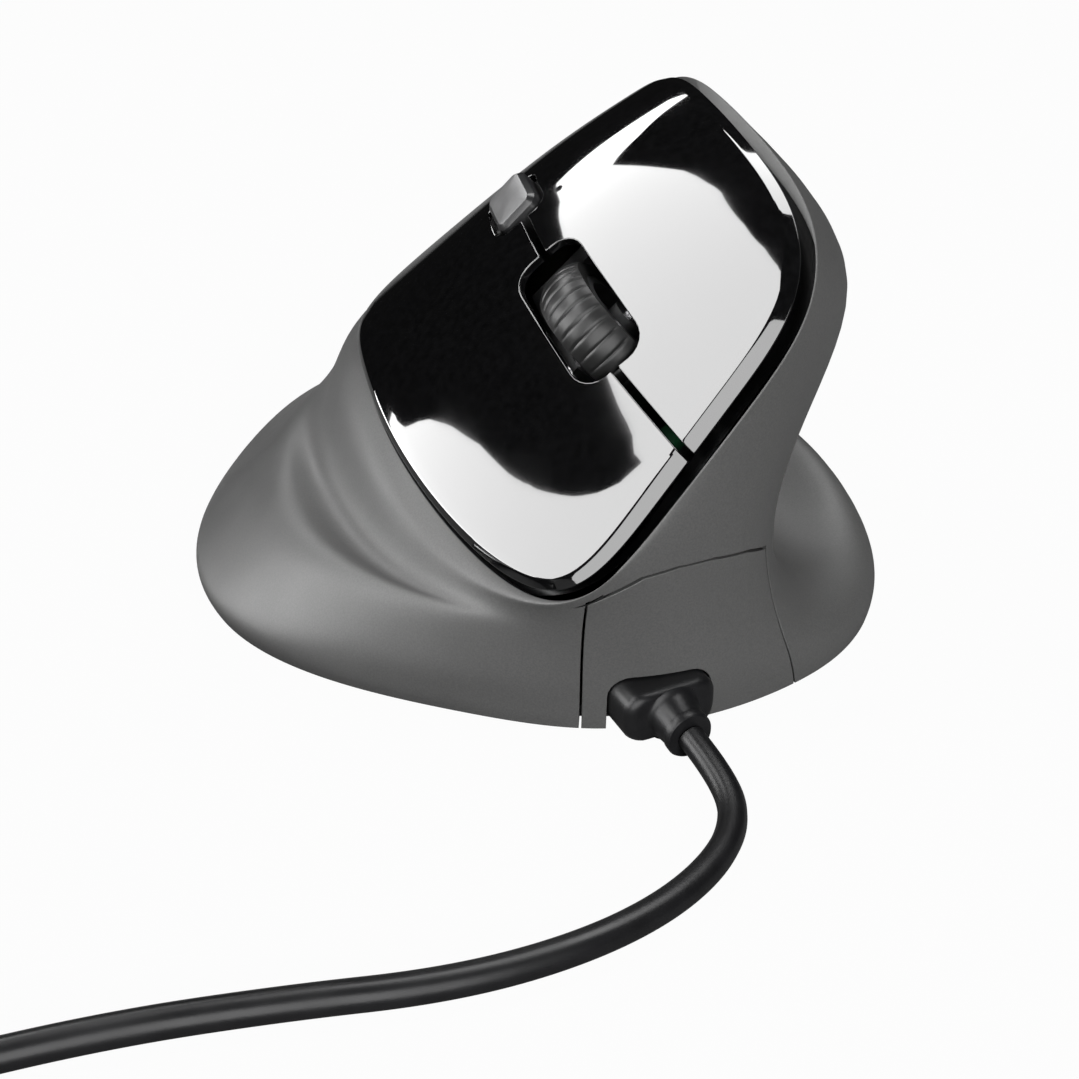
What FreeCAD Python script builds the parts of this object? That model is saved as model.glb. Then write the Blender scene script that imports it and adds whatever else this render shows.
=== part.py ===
import FreeCAD, Part
import math
import os
from FreeCAD import Placement, Rotation, Vector

# Upright computer mouse for the right hand.
# +X is the thumb side, -Y the front where the cord leaves, +Z up, and the feet stand on Z = 0.
# The button plate lies in a frame of its own, tilted about Y: s runs up across the plate,
# y is shared with the mouse, and h stands square to the plate.

doc = FreeCAD.newDocument("upright_mouse")

# ---------------------------------------------------------------- driving dimensions, mm
DIMENSIONS = [
    ("plate_tilt", 48.6),
    ("plate_thickness", 1.2),
    ("plate_stand", 0.8),
    ("shell_wall", 2.0),
    ("rim_depth", 4.5),
    ("base_lift", 0.8),
    ("base_thickness", 1.8),
    ("base_clearance", 0.6),
    ("panel_seam", 0.4),
    ("split_seam", 1.0),
    ("wheel_slot_width", 9.6),
    ("wheel_slot_length", 19.4),
    ("wheel_diameter", 21.0),
    ("wheel_width", 6.8),
    ("wheel_crown", 0.9),
    ("hub_diameter", 15.0),
    ("axle_diameter", 2.0),
    ("axle_length", 16.6),
    ("axle_clearance", 0.05),
    ("wheel_proud", 3.2),
    ("wheel_slant", 15.6),
    ("press_travel", 0.6),
    ("dpi_width", 7.0),
    ("dpi_length", 8.6),
    ("dpi_proud", 1.2),
    ("board_level", 16.0),
    ("board_thickness", 1.6),
    ("switch_length", 12.8),
    ("switch_width", 5.8),
    ("switch_height", 6.5),
    ("plunger_height", 0.7),
    ("tact_size", 6.0),
    ("tact_height", 4.3),
    ("main_board_width", 28.0),
    ("main_board_length", 64.0),
    ("main_board_level", 7.0),
    ("screw_diameter", 2.2),
    ("screw_head", 4.2),
    ("notch_width", 13.4),
    ("notch_height", 8.5),
    ("boot_tip", 5.4),
    ("cord_diameter", 3.5),
    ("coil_radius", 19.0),
    ("plug_width", 15.6),
    ("plug_depth", 8.0),
    ("plug_length", 24.0),
    ("usb_width", 12.0),
    ("usb_depth", 4.5),
    ("usb_length", 12.0),
]
sheet = doc.addObject("Spreadsheet::Sheet", "dimensions")
for row, (alias, value) in enumerate(DIMENSIONS, start=1):
    sheet.set("A%d" % row, alias)
    sheet.set("B%d" % row, str(value))
    sheet.setAlias("B%d" % row, alias)
doc.recompute()


def dim(alias):
    """The value of one cell of the sheet."""
    return float(sheet.get(alias))


# ---------------------------------------------------------------- frames
# The mouse is drawn about the middle of the palm. CENTRED puts the middle of its box at the origin.
CENTRED = Placement(Vector(-1.2, 5.1, 0), Rotation())
TILTED = Placement(Vector(0, 0, 0), Rotation(Vector(0, 1, 0), -dim("plate_tilt")))
UP = Vector(0, 0, 1)
EVERYWHERE = 200.0


def on_plate(s, y, h, spin=0.0):
    """A frame at a point of the plate's own coordinates, turned by spin about the plate's normal."""
    return TILTED.multiply(Placement(Vector(s, y, h), Rotation(UP, spin)))


def along_x(x, y, z):
    """A frame whose Z axis points along the mouse's +X."""
    return Placement(Vector(x, y, z), Rotation(Vector(0, 1, 0), 90))


# ---------------------------------------------------------------- making and keeping sub-parts
nodes = []


def keep(item, label):
    """Name an object as a sub-part of its own."""
    item.Label = label
    nodes.append(item)
    return item


def keep_shape(label, shape, placement=None):
    """A sub-part whose shape is worked out by Part's own functions."""
    item = doc.addObject("Part::Feature", label)
    item.Shape = shape
    item.Placement = CENTRED.multiply(placement or Placement())
    return keep(item, label)


def bound_box(name, sizes, placement, centred=True):
    """A box bound to the sheet: sizes are expressions, and the frame sits under its middle."""
    box = doc.addObject("Part::Box", name)
    for side, size in zip(("Length", "Width", "Height"), sizes):
        box.setExpression(side, size)
    doc.recompute()
    if centred:
        shift = Placement(Vector(-box.Length.Value / 2, -box.Width.Value / 2, 0), Rotation())
        placement = placement.multiply(shift)
    box.Placement = CENTRED.multiply(placement)
    return box


def bound_cylinder(name, radius, height, placement):
    """A cylinder bound to the sheet, standing on its frame."""
    cylinder = doc.addObject("Part::Cylinder", name)
    cylinder.setExpression("Radius", radius)
    cylinder.setExpression("Height", height)
    cylinder.Placement = CENTRED.multiply(placement)
    return cylinder


def joined(label, pieces):
    fuse = doc.addObject("Part::MultiFuse", label)
    fuse.Shapes = pieces
    return keep(fuse, label)


def cut_from(name, base, tool):
    cut = doc.addObject("Part::Cut", name)
    cut.Base = base
    cut.Tool = tool
    return cut


# ---------------------------------------------------------------- smooth surfaces
def clamped(points):
    """Control points of a run with free ends, as a clamped cubic needs them."""
    first = points[0] * (2 / 3) + points[1] * (1 / 3)
    last = points[-1] * (2 / 3) + points[-2] * (1 / 3)
    return [points[0], first] + points[1:-1] + [last, points[-1]]


def clamped_knots(count):
    return [4] + [1] * (count - 2) + [4], [float(k) for k in range(count)]


def ring_surface(rows):
    """A smooth band that closes round the mouse: one row of control points for each station."""
    poles = [clamped(row) for row in rows]
    around = [float(k) for k in range(len(rows) + 1)]
    up_mults, up_knots = clamped_knots(len(rows[0]))
    surface = Part.BSplineSurface()
    surface.buildFromPolesMultsKnots(
        poles, [1] * len(around), up_mults, around, up_knots, True, False, 3, 3)
    return surface


def ring_land(inner, outer):
    """The straight-sided strip between two closed control rings."""
    around = [float(k) for k in range(len(inner) + 1)]
    surface = Part.BSplineSurface()
    surface.buildFromPolesMultsKnots(
        [[a, b] for a, b in zip(inner, outer)],
        [1] * len(around), [2, 2], around, [0.0, 1.0], True, False, 3, 1)
    return surface


def patch_surface(rows):
    """A smooth open patch through a grid of control points."""
    poles = clamped_grid(rows)
    row_mults, row_knots = clamped_knots(len(rows))
    column_mults, column_knots = clamped_knots(len(rows[0]))
    surface = Part.BSplineSurface()
    surface.buildFromPolesMultsKnots(
        poles, row_mults, column_mults, row_knots, column_knots, False, False, 3, 3)
    return surface


def clamped_grid(rows):
    across = [clamped(row) for row in rows]
    columns = [clamped([row[k] for row in across]) for k in range(len(across[0]))]
    return [[column[k] for column in columns] for k in range(len(columns[0]))]


def closed_curve(points):
    """A smooth closed edge round a ring of control points."""
    around = [float(k) for k in range(len(points) + 1)]
    curve = Part.BSplineCurve()
    curve.buildFromPolesMultsKnots(points, [1] * len(around), around, True, 3)
    return curve.toShape()


def sewn_solid(surfaces):
    shell = Part.makeShell([surface.toShape() for surface in surfaces])
    shell.sewShape()
    solid = Part.makeSolid(Part.Shell(shell.Faces))
    if solid.Volume < 0:
        solid.reverse()
    return solid


def main_solid(shape):
    """The one large solid of a boolean's result."""
    return max(shape.Solids, key=lambda solid: solid.Volume)


def prism(points, direction):
    """A straight-sided solid on a flat outline."""
    return Part.Face(Part.makePolygon(points + points[:1])).extrude(direction)


# ---------------------------------------------------------------- the button plate's crowned surface
# Heights h of the control points over the plate's own plane: one row for each y, one column for each s.
CROWN_S = [-4, 6, 20, 36, 52, 64, 76]
CROWN_ROWS = [
    (-66, [17.5, 18.5, 19.0, 19.3, 19.3, 18.5, 16.5]),
    (-56, [22.8, 23.8, 24.3, 24.4, 24.2, 22.8, 20.0]),
    (-46, [26.5, 28.0, 28.9, 29.0, 28.4, 26.5, 23.5]),
    (-34, [30.0, 31.8, 32.8, 33.0, 32.0, 29.6, 26.0]),
    (-22, [32.5, 34.6, 35.8, 36.0, 34.8, 31.8, 27.5]),
    (-12, [34.0, 36.2, 37.3, 37.2, 35.2, 31.4, 26.5]),
    (-4, [34.8, 37.0, 37.8, 36.6, 33.3, 28.6, 23.0]),
    (4, [35.0, 37.0, 37.0, 34.2, 29.6, 24.0, 17.5]),
    (14, [34.5, 36.0, 34.3, 29.5, 23.5, 17.0, 10.0]),
    (28, [32.5, 32.5, 28.5, 21.5, 14.0, 7.0, 0.0]),
]
crown = patch_surface(
    [[Vector(s, y, h) for s, h in zip(CROWN_S, heights)] for y, heights in CROWN_ROWS]).toShape()


def crown_height(s, y):
    """How high the crowned surface stands over the plate's plane."""
    probe = Part.makeLine(Vector(s, y, -EVERYWHERE), Vector(s, y, EVERYWHERE))
    return probe.distToShape(crown)[1][0][0].z


# ---------------------------------------------------------------- the hand-shaped shell
# Stations go round the mouse. Each has its place on the plate's rim (s, y), the width of the gap
# left round the buttons there, how far the rim's shelf reaches in under them, and the control
# points of its profile from the foot upwards.
STATIONS = [
    ("front_corner", (8.5, -57.8), 1.0, 0.9, [
        (-10.5, -56.2, 0.8), (-10.5, -56.2, 2), (-10.5, -56.2, 4), (-10.5, -56.2, 7),
        (-10.6, -56.2, 10), (-10.7, -56.3, 12.5), (-10.9, -56.4, 14.7), (-11.1, -56.6, 16.5),
        (-11.3, -56.9, 18), (-11.5, -57.2, 19.2), (-11.7, -57.5, 20)]),
    ("front_low", (23, -58.2), 1.2, 1.2, [
        (4, -60, 0.8), (4, -60, 2), (4, -60, 4), (4, -60, 7),
        (3.7, -59.9, 10), (3.4, -59.8, 13), (2.8, -59.7, 17), (2.2, -59.6, 21),
        (1.3, -59.4, 25), (0.4, -59.1, 28.5), (-0.8, -58.7, 31)]),
    ("front_middle", (38, -58.3), 1.3, 1.2, [
        (19, -59, 0.8), (19, -59, 2), (18.8, -59, 4), (18, -58.7, 6.5),
        (17, -58, 9.5), (16, -57.3, 14), (15.2, -57, 19), (14.5, -57, 25),
        (13.5, -57.5, 31), (12, -58, 36.5), (10, -58.3, 40.5)]),
    ("front_high", (51.5, -57.8), 1.3, 1.3, [
        (32.5, -54.8, 0.8), (32.8, -54.9, 2), (32.5, -54.7, 3.6), (30.5, -53.8, 5.2),
        (26, -51.8, 7), (22, -50.3, 11), (20.2, -49.5, 17), (20.5, -49.5, 25),
        (22.5, -50.3, 33), (24.5, -52, 42), (23, -55, 50)]),
    ("thumb_front", (60.7, -50.2), 1.4, 2.6, [
        (45.6, -43.2, 0.8), (46.2, -43, 2), (46.6, -42.9, 4), (45.6, -42.5, 6.6),
        (41, -41.8, 7.4), (33, -41.5, 5.6), (25.5, -42, 8.5), (22, -43, 18),
        (25, -44, 31), (31.5, -45, 43), (32.3, -47.3, 54)]),
    ("thumb_rest", (65.2, -38), 1.3, 3.0, [
        (48.9, -26, 0.8), (49.5, -26, 2.5), (50, -26, 7), (49.4, -26, 12),
        (46.3, -26, 15.5), (39, -27, 9), (29, -28, 7.5), (23, -30, 17),
        (25, -31, 33), (31.5, -33, 47), (33.3, -35, 60)]),
    ("thumb_middle", (68.6, -24), 1.1, 3.0, [
        (48.5, -3, 0.8), (49, -3, 2.5), (49.3, -3, 8), (48.7, -3, 14),
        (46, -3, 17.5), (39, -4, 11), (30, -5, 9), (23.5, -7, 18),
        (25, -9, 34), (31.5, -13, 49), (33, -18.5, 63.5)]),
    ("thumb_back", (71, -9), 0.9, 2.6, [
        (46, 19, 0.8), (46.5, 19, 2.5), (47, 19, 8), (46, 19, 13),
        (43.5, 18, 16), (37, 17, 12), (30, 16, 11), (25, 14, 18),
        (26, 12, 31), (29, 8, 44), (30, 1, 58)]),
    ("heel_right", (66, 1), 0.8, 2.0, [
        (36, 38, 0.8), (36.5, 38.6, 2.5), (36.8, 39, 6), (36.2, 38.3, 10),
        (34.5, 36.5, 12), (31.5, 33, 12.5), (29, 29.5, 15), (27.5, 25, 25),
        (28, 19, 38), (28.5, 13, 50), (28, 6, 60)]),
    ("heel_middle", (52, 5), 0.6, 1.2, [
        (19, 53, 0.8), (19.3, 54, 2.5), (19.5, 54.3, 5), (19.2, 53.5, 7.5),
        (18.5, 51, 9.5), (17.5, 46.5, 12), (16.5, 41, 17), (16, 34, 26),
        (15, 27, 36), (14.5, 19, 46), (14, 12, 53)]),
    ("heel", (36, 9), 0.5, 0.8, [
        (-1, 56, 0.8), (-1, 57, 2.5), (-1, 57.3, 5), (-1, 56.5, 7.5),
        (-1, 54, 9.5), (-1, 49, 11.5), (-1, 43, 15), (-1, 36, 21),
        (-1, 29, 28), (-1, 22, 35), (-1, 15.5, 42)]),
    ("heel_left", (21, 13), 0.5, 0.6, [
        (-20, 47, 0.8), (-20.4, 48, 2.5), (-20.6, 48.3, 5), (-20, 47.3, 7.3),
        (-18.5, 44.5, 9), (-16.5, 40, 11.5), (-15, 35.5, 15), (-14, 30, 20),
        (-13, 25, 26), (-12.5, 20.5, 31), (-12, 16.5, 35)]),
    ("little_finger_back", (13.5, 9), 0.5, 0.6, [
        (-34, 31, 0.8), (-34.8, 31.8, 2.2), (-34.8, 31.8, 4.2), (-32.2, 29, 7),
        (-28.8, 26, 10.5), (-26, 23.3, 14.5), (-24, 21.3, 17.7), (-22.5, 19.5, 19.5),
        (-21, 17, 22), (-20, 14.5, 26.5), (-19.2, 12, 30.8)]),
    ("little_finger_middle", (10.5, -3), 0.5, 0.6, [
        (-46, 9, 0.8), (-46.7, 9.2, 2.2), (-46.7, 9.2, 4.2), (-44, 8.6, 7),
        (-39.5, 7.5, 11), (-34.5, 6.5, 15.5), (-31, 5.5, 18), (-28, 4.2, 17.3),
        (-25.8, 3, 19.5), (-24.3, 1, 24), (-22.8, -1, 28.7)]),
    ("little_finger", (6, -16), 0.5, 0.6, [
        (-47.5, -13, 0.8), (-48.2, -13, 2.2), (-48.2, -13, 4.2), (-46, -13, 7),
        (-42, -13.3, 11.5), (-37.5, -13.7, 16), (-34, -14, 16.8), (-30.5, -14.5, 14.6),
        (-27.5, -15, 15.8), (-26, -15.5, 20), (-24.7, -15.8, 24.5)]),
    ("little_finger_front", (3, -34), 0.5, 0.6, [
        (-38, -31, 0.8), (-38.5, -31.3, 2.2), (-38.5, -31.3, 4.2), (-37.5, -31.5, 7),
        (-35.3, -31, 11), (-32.8, -31, 15), (-30.5, -31.5, 16), (-28, -32, 14),
        (-25.8, -32.5, 15.5), (-24.5, -33, 18.5), (-23.3, -33.5, 21)]),
    ("front_left", (3, -50), 0.7, 0.6, [
        (-23.2, -45.4, 0.8), (-23.4, -45.6, 2.2), (-23.4, -45.6, 4.2), (-23.3, -46, 7),
        (-22.6, -46, 10.5), (-21.7, -46.3, 13.5), (-20.8, -46.8, 15.4), (-19.8, -47.3, 16.6),
        (-19.2, -47.8, 17.4), (-18.8, -48.3, 18.1), (-18.5, -49, 18.7)]),
]
CORE = Vector(0, -8, 0)
PLATE_MIDDLE = Vector(36, -24, 0)


def rim_point(s, y, drop):
    """A point under the crowned surface, in the mouse's frame."""
    return TILTED.multVec(Vector(s, y, crown_height(s, y) - drop))


def towards(point, target, distance):
    step = target - point
    step.z = 0
    return point + step.normalize() * distance


def outer_profile(station):
    _, (s, y), _, _, profile = station
    return [Vector(*point) for point in profile] + [rim_point(s, y, dim("plate_stand"))]


def depth_below_crown(point):
    local = TILTED.inverse().multVec(point)
    return crown_height(local.x, local.y) - local.z


def inner_profile(station):
    """The same station inside the wall, running under the thumb and finger grooves."""
    _, (s, y), _, shelf, profile = station
    wall = dim("shell_wall")
    depth = dim("rim_depth")
    inner = []
    for k, (x, y_outer, z) in enumerate(profile):
        roof = min(height for _, _, height in profile[k:])
        point = towards(Vector(x, y_outer, 0), CORE, wall)
        point.z = z if k == 0 else max(min(z, roof - wall * 0.9), 0.8 + 0.4 * k)
        if k < len(profile) - 2 or depth_below_crown(point) > depth + wall:
            inner.append(point)
    rim = towards(Vector(s, y, 0), PLATE_MIDDLE, shelf)
    last = inner[-1]
    step = (rim_point(rim.x, rim.y, depth) - last) * (1 / (len(profile) + 1 - len(inner)))
    while len(inner) <= len(profile):
        last = last + step
        inner.append(last)
    return inner


outer_rows = [outer_profile(station) for station in STATIONS]
inner_rows = [inner_profile(station) for station in STATIONS]
shell_solid = sewn_solid([
    ring_surface(outer_rows),
    ring_surface(inner_rows),
    ring_land([row[0] for row in inner_rows], [row[0] for row in outer_rows]),
    ring_land([row[-1] for row in inner_rows], [row[-1] for row in outer_rows]),
])

# ---------------------------------------------------------------- front panel and cord notch
PANEL_OUTLINE = [(-10.6, -5), (19.8, -5), (19.0, 9), (20.3, 17.6), (-8, 20.9), (-10.6, 21.2)]
NOTCH_X = -0.9
NOTCH_CORNER = 3.0


def panel_prism(grow):
    """The front panel's outline, widened on every side by grow and run through the front wall."""
    middle_x = 4.0
    middle_z = 8.0
    points = []
    for x, z in PANEL_OUTLINE:
        dx = grow if x > middle_x else -grow
        dz = grow if z > middle_z else -grow
        points.append(Vector(x + dx, -70, z + dz))
    return prism(points, Vector(0, 27, 0))


def notch_block(grow, y_from, y_to, floor=-5.0):
    """The cord's opening in the panel: a block with rounded top corners."""
    width = dim("notch_width") + 2 * grow
    top = dim("notch_height") + grow
    block = Part.makeBox(width, y_to - y_from, top - floor, Vector(NOTCH_X - width / 2, y_from, floor))
    tops = [edge for edge in block.Edges
            if abs(edge.CenterOfMass.z - top) < 0.01 and abs(edge.CenterOfMass.x - NOTCH_X) > width / 3]
    return block.makeFillet(NOTCH_CORNER, tops)


half_seam = dim("panel_seam") / 2
front_panel = shell_solid.common(panel_prism(-half_seam))
front_panel = front_panel.cut(notch_block(0, -75, -45))
keep_shape("front_panel", main_solid(front_panel))

# ---------------------------------------------------------------- thumb buttons
# Each is cut from the thumb wall, between two distances along y, and stands a little proud of it.
THUMB_BUTTONS = [
    ("forward_button", -28.0, -12.0, 50.5),
    ("back_button", -10.5, 6.0, 49.0),
]
THUMB_BUTTON_HEIGHT = 7.4
THUMB_BUTTON_ROUND = 3.2
THUMB_PROUD = 0.9
THUMB_GAP = 0.35
SIDE_BOARD_X = 22.4


def thumb_prism(y_from, y_to, z_middle, grow):
    height = THUMB_BUTTON_HEIGHT + 2 * grow
    block = Part.makeBox(30, y_to - y_from + 2 * grow, height,
                         Vector(21, y_from - grow, z_middle - height / 2))
    corners = [edge for edge in block.Edges if edge.Length > 29.9]
    return block.makeFillet(THUMB_BUTTON_ROUND + grow, corners)


upper_shell = shell_solid.cut(panel_prism(half_seam))
side_board_face = SIDE_BOARD_X + dim("board_thickness")
side_tact_height = 2.6
for label, y_from, y_to, z_middle in THUMB_BUTTONS:
    cap = main_solid(shell_solid.common(thumb_prism(y_from, y_to, z_middle, 0)))
    cap = cap.translated(Vector(THUMB_PROUD, 0, 0))
    y_middle = (y_from + y_to) / 2
    stem_start = side_board_face + side_tact_height + dim("press_travel") + 0.2
    stem = Part.makeCylinder(1.5, cap.CenterOfMass.x - stem_start,
                             Vector(stem_start, y_middle, z_middle), Vector(1, 0, 0))
    keep_shape(label, main_solid(cap.fuse(stem)))
    upper_shell = upper_shell.cut(thumb_prism(y_from, y_to, z_middle, THUMB_GAP))

# Ribs that hold the side board off the thumb wall, as (y, z), and screw posts that reach down to the base.
SIDE_RIBS = [(-25.0, 44.4), (2.0, 43.4)]
RIB_ROOT = 0.7
SHELL_POSTS = [(-36.0, -8.0, 11.4), (37.0, -8.0, 7.6), (-2.0, 44.0, 11.4)]
POST_RADIUS = 3.0
base_top = dim("base_lift") + dim("base_thickness")
for y, z in SIDE_RIBS:
    probe = Part.makeLine(Vector(side_board_face, y, z), Vector(side_board_face + 20, y, z))
    reach = probe.common(shell_solid).BoundBox.XMin - side_board_face + RIB_ROOT
    rib = Part.makeCylinder(1.5, reach, Vector(side_board_face + 0.02, y, z), Vector(1, 0, 0))
    upper_shell = upper_shell.fuse(rib)
for x, y, top in SHELL_POSTS:
    post = Part.makeCylinder(POST_RADIUS, top - base_top - 0.05, Vector(x, y, base_top + 0.05))
    bore = Part.makeCylinder(dim("screw_diameter") / 2, 3.0, Vector(x, y, base_top + 0.04))
    upper_shell = upper_shell.fuse(post.cut(bore))
keep_shape("upper_shell", main_solid(upper_shell))

# ---------------------------------------------------------------- base plate, feet and screws
SENSOR_X = -12.0
SENSOR_Y = -8.0
foot_ring = [Vector(row[0].x, row[0].y, dim("base_lift")) for row in inner_rows]
base_ring = [towards(point, Vector(0, -2, 0), dim("base_clearance")) for point in foot_ring]
for point in base_ring:
    point.z = dim("base_lift")
base_plate = Part.Face(Part.Wire([closed_curve(base_ring)])).extrude(UP * dim("base_thickness"))
base_plate = base_plate.cut(Part.makeCylinder(5.0, 10, Vector(SENSOR_X, SENSOR_Y, -2)))
for x, y, _ in SHELL_POSTS:
    base_plate = base_plate.cut(
        Part.makeCylinder(dim("screw_diameter") / 2 + 0.1, 10, Vector(x, y, -2)))
    base_plate = base_plate.cut(
        Part.makeCylinder(dim("screw_head") / 2 + 0.2, 1.2, Vector(x, y, dim("base_lift"))))
MAIN_BOARD_X = -11.0
MAIN_BOARD_Y = -4.0
STANDOFFS = [(-22.0, -30.0), (-22.0, 24.0), (0.0, 24.0), (0.0, -33.0)]
for x, y in STANDOFFS:
    standoff = Part.makeCylinder(2.2, dim("main_board_level") - base_top + 0.5,
                                 Vector(x, y, base_top - 0.5))
    base_plate = base_plate.fuse(standoff)
keep_shape("base_plate", base_plate)

FEET = [((4.0, -50.0), 22.0, 5.0, 0), ((3.0, 46.0), 26.0, 6.0, 0),
        ((-40.0, -10.0), 14.0, 4.4, 90), ((41.0, -10.0), 16.0, 4.4, 90)]


def foot_pad(middle, length, width, turn):
    """A low-friction pad with round ends."""
    block = Part.makeBox(length, width, dim("base_lift"), Vector(-length / 2, -width / 2, 0))
    corners = [edge for edge in block.Edges if abs(edge.Length - dim("base_lift")) < 0.01]
    block = block.makeFillet(width * 0.45, corners)
    block.Placement = Placement(Vector(middle[0], middle[1], 0), Rotation(UP, turn))
    return block


keep_shape("glide_feet", Part.makeCompound([foot_pad(*foot) for foot in FEET]))


def screw(x, y, head_z, length):
    """A screw with its head down."""
    head = Part.makeCylinder(dim("screw_head") / 2, 1.0, Vector(x, y, head_z))
    shank = Part.makeCylinder(dim("screw_diameter") / 2 - 0.02, length, Vector(x, y, head_z))
    slot = Part.makeBox(dim("screw_head"), 0.6, 0.4, Vector(x - dim("screw_head") / 2, y - 0.3, head_z))
    return head.fuse(shank).cut(slot)


keep_shape("base_screws", Part.makeCompound(
    [screw(x, y, dim("base_lift") + 0.15, dim("base_thickness") + 2.4) for x, y, _ in SHELL_POSTS]))

# ---------------------------------------------------------------- click buttons
# The seam between the two buttons follows the wheel: points (s, y) from the front to the back.
DIVIDER = [(29.2, -64.0), (29.4, -57.5), (32.6, -42.0), (38.2, -24.0), (40.8, -16.0),
           (42.2, -9.8), (45.0, 2.0), (49.0, 20.0)]
WHEEL_S = 35.5
WHEEL_Y = -33.0
WHEEL_BACK = 0.4
DPI_S = 42.0
DPI_Y = -9.8
DPI_GAP = 0.7
SWITCH_PLACES = {"left": (46.0, -38.0), "right": (20.4, -38.0)}
POST_CLEARANCE = 1.0


def plate_block(s, y, length_s, length_y, bottom, height, corner):
    """A block with rounded corners, standing on the plate's frame and turned along the seam."""
    block = Part.makeBox(length_s, length_y, height, Vector(-length_s / 2, -length_y / 2, bottom))
    corners = [edge for edge in block.Edges if abs(edge.Length - height) < 0.01]
    block = block.makeFillet(corner, corners)
    block.Placement = Placement(Vector(s, y, 0), Rotation(UP, -dim("wheel_slant")))
    return block


button_ring = []
for _, (s, y), gap, _, _ in STATIONS:
    button_ring.append(towards(Vector(s, y, 0), PLATE_MIDDLE, gap))
outline = Part.Face(Part.Wire([closed_curve(button_ring)])).extrude(UP * 60)
slab = crown.extrude(UP * -dim("plate_thickness"))
plate_slab = slab.common(outline)
plate_slab = plate_slab.cut(
    plate_block(WHEEL_S, WHEEL_Y, dim("wheel_slot_width"), dim("wheel_slot_length"), 0, 60, 3.4))
wheel_h = crown_height(WHEEL_S, WHEEL_Y) + dim("wheel_proud") - dim("wheel_diameter") / 2
wheel_middle = Placement(Vector(WHEEL_S, WHEEL_Y, wheel_h), Rotation(UP, -dim("wheel_slant")))
wheel_middle = wheel_middle.multiply(Placement(Vector(0, WHEEL_BACK, 0), Rotation()))
WHEEL_ROOM = 0.5
for rise in (0, 0.8):
    room = Part.makeCylinder(dim("wheel_diameter") / 2 + WHEEL_ROOM, dim("wheel_slot_width"),
                             Vector(-dim("wheel_slot_width") / 2, 0, rise), Vector(1, 0, 0))
    room.Placement = wheel_middle
    plate_slab = plate_slab.cut(room)
plate_slab = plate_slab.cut(
    plate_block(DPI_S, DPI_Y, dim("dpi_width") + 2 * DPI_GAP, dim("dpi_length") + 2 * DPI_GAP, 0, 60, 2.2))


def side_of_seam(side):
    """Everything on one side of the seam, in the plate's frame."""
    shift = side * dim("split_seam") / 2
    points = [Vector(s + shift, y, 0) for s, y in DIVIDER]
    far = side * EVERYWHERE
    points = points + [Vector(far, DIVIDER[-1][1], 0), Vector(far, DIVIDER[0][1], 0)]
    return prism(points, UP * 60)


switch_top = (dim("board_level") + dim("board_thickness") + dim("switch_height")
              + dim("plunger_height"))
for name, side in (("left", 1), ("right", -1)):
    s, y = SWITCH_PLACES[name]
    post_bottom = switch_top + POST_CLEARANCE
    post_height = crown_height(s, y) - dim("plate_thickness") / 2 - post_bottom
    post = Part.makeBox(3, 2.4, post_height, Vector(s - 1.5, y - 1.2, post_bottom))
    button = main_solid(plate_slab.common(side_of_seam(side)))
    keep_shape(name + "_button", main_solid(button.fuse(post)), TILTED)

# ---------------------------------------------------------------- the button behind the wheel
dpi_top = crown_height(DPI_S, DPI_Y) + dim("dpi_proud")
dpi_flange = crown_height(DPI_S, DPI_Y) - dim("plate_thickness") - 2.6
tact_top = dim("board_level") + dim("board_thickness") + dim("tact_height")
DPI_STEM_CLEARANCE = 0.8
cap = plate_block(0, 0, dim("dpi_width"), dim("dpi_length"), dpi_flange, dpi_top - dpi_flange, 1.6)
cap = cap.makeChamfer(0.7, [edge for edge in cap.Edges if edge.CenterOfMass.z > dpi_top - 0.01])
flange = plate_block(0, 0, dim("dpi_width") + 3, dim("dpi_length") + 3, dpi_flange - 1, 1.1, 1.6)
stem_bottom = tact_top + DPI_STEM_CLEARANCE
stem = Part.makeCylinder(1.6, dpi_flange - stem_bottom, Vector(0, 0, stem_bottom))
keep_shape("dpi_button", cap.fuse([flange, stem]), on_plate(DPI_S, DPI_Y, 0))

# ---------------------------------------------------------------- scroll wheel
WHEEL_FRAME = TILTED.multiply(wheel_middle)


def axle_frame(x):
    """A frame on the wheel's axle, x from its middle, with Z along the axle."""
    return WHEEL_FRAME.multiply(Placement(Vector(x, 0, 0), Rotation(Vector(0, 1, 0), 90)))


def revolved_body(label, outline_points, placement):
    """A PartDesign body turned about its own Z axis from an outline of (radius, height) points."""
    body = doc.addObject("PartDesign::Body", label)
    sketch = body.newObject("Sketcher::SketchObject", label + "_outline")
    plane = [item for item in body.Origin.OriginFeatures if item.Role == "XZ_Plane"][0]
    sketch.AttachmentSupport = [(plane, "")]
    sketch.MapMode = "FlatFace"
    ring = outline_points + outline_points[:1]
    for (r_a, z_a), (r_b, z_b) in zip(ring, ring[1:]):
        sketch.addGeometry(Part.LineSegment(Vector(r_a, z_a, 0), Vector(r_b, z_b, 0)))
    turned = body.newObject("PartDesign::Revolution", label + "_turned")
    turned.Profile = sketch
    turned.ReferenceAxis = (sketch, ["V_Axis"])
    turned.Angle = 360
    body.Placement = CENTRED.multiply(placement)
    return keep(body, label)


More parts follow.
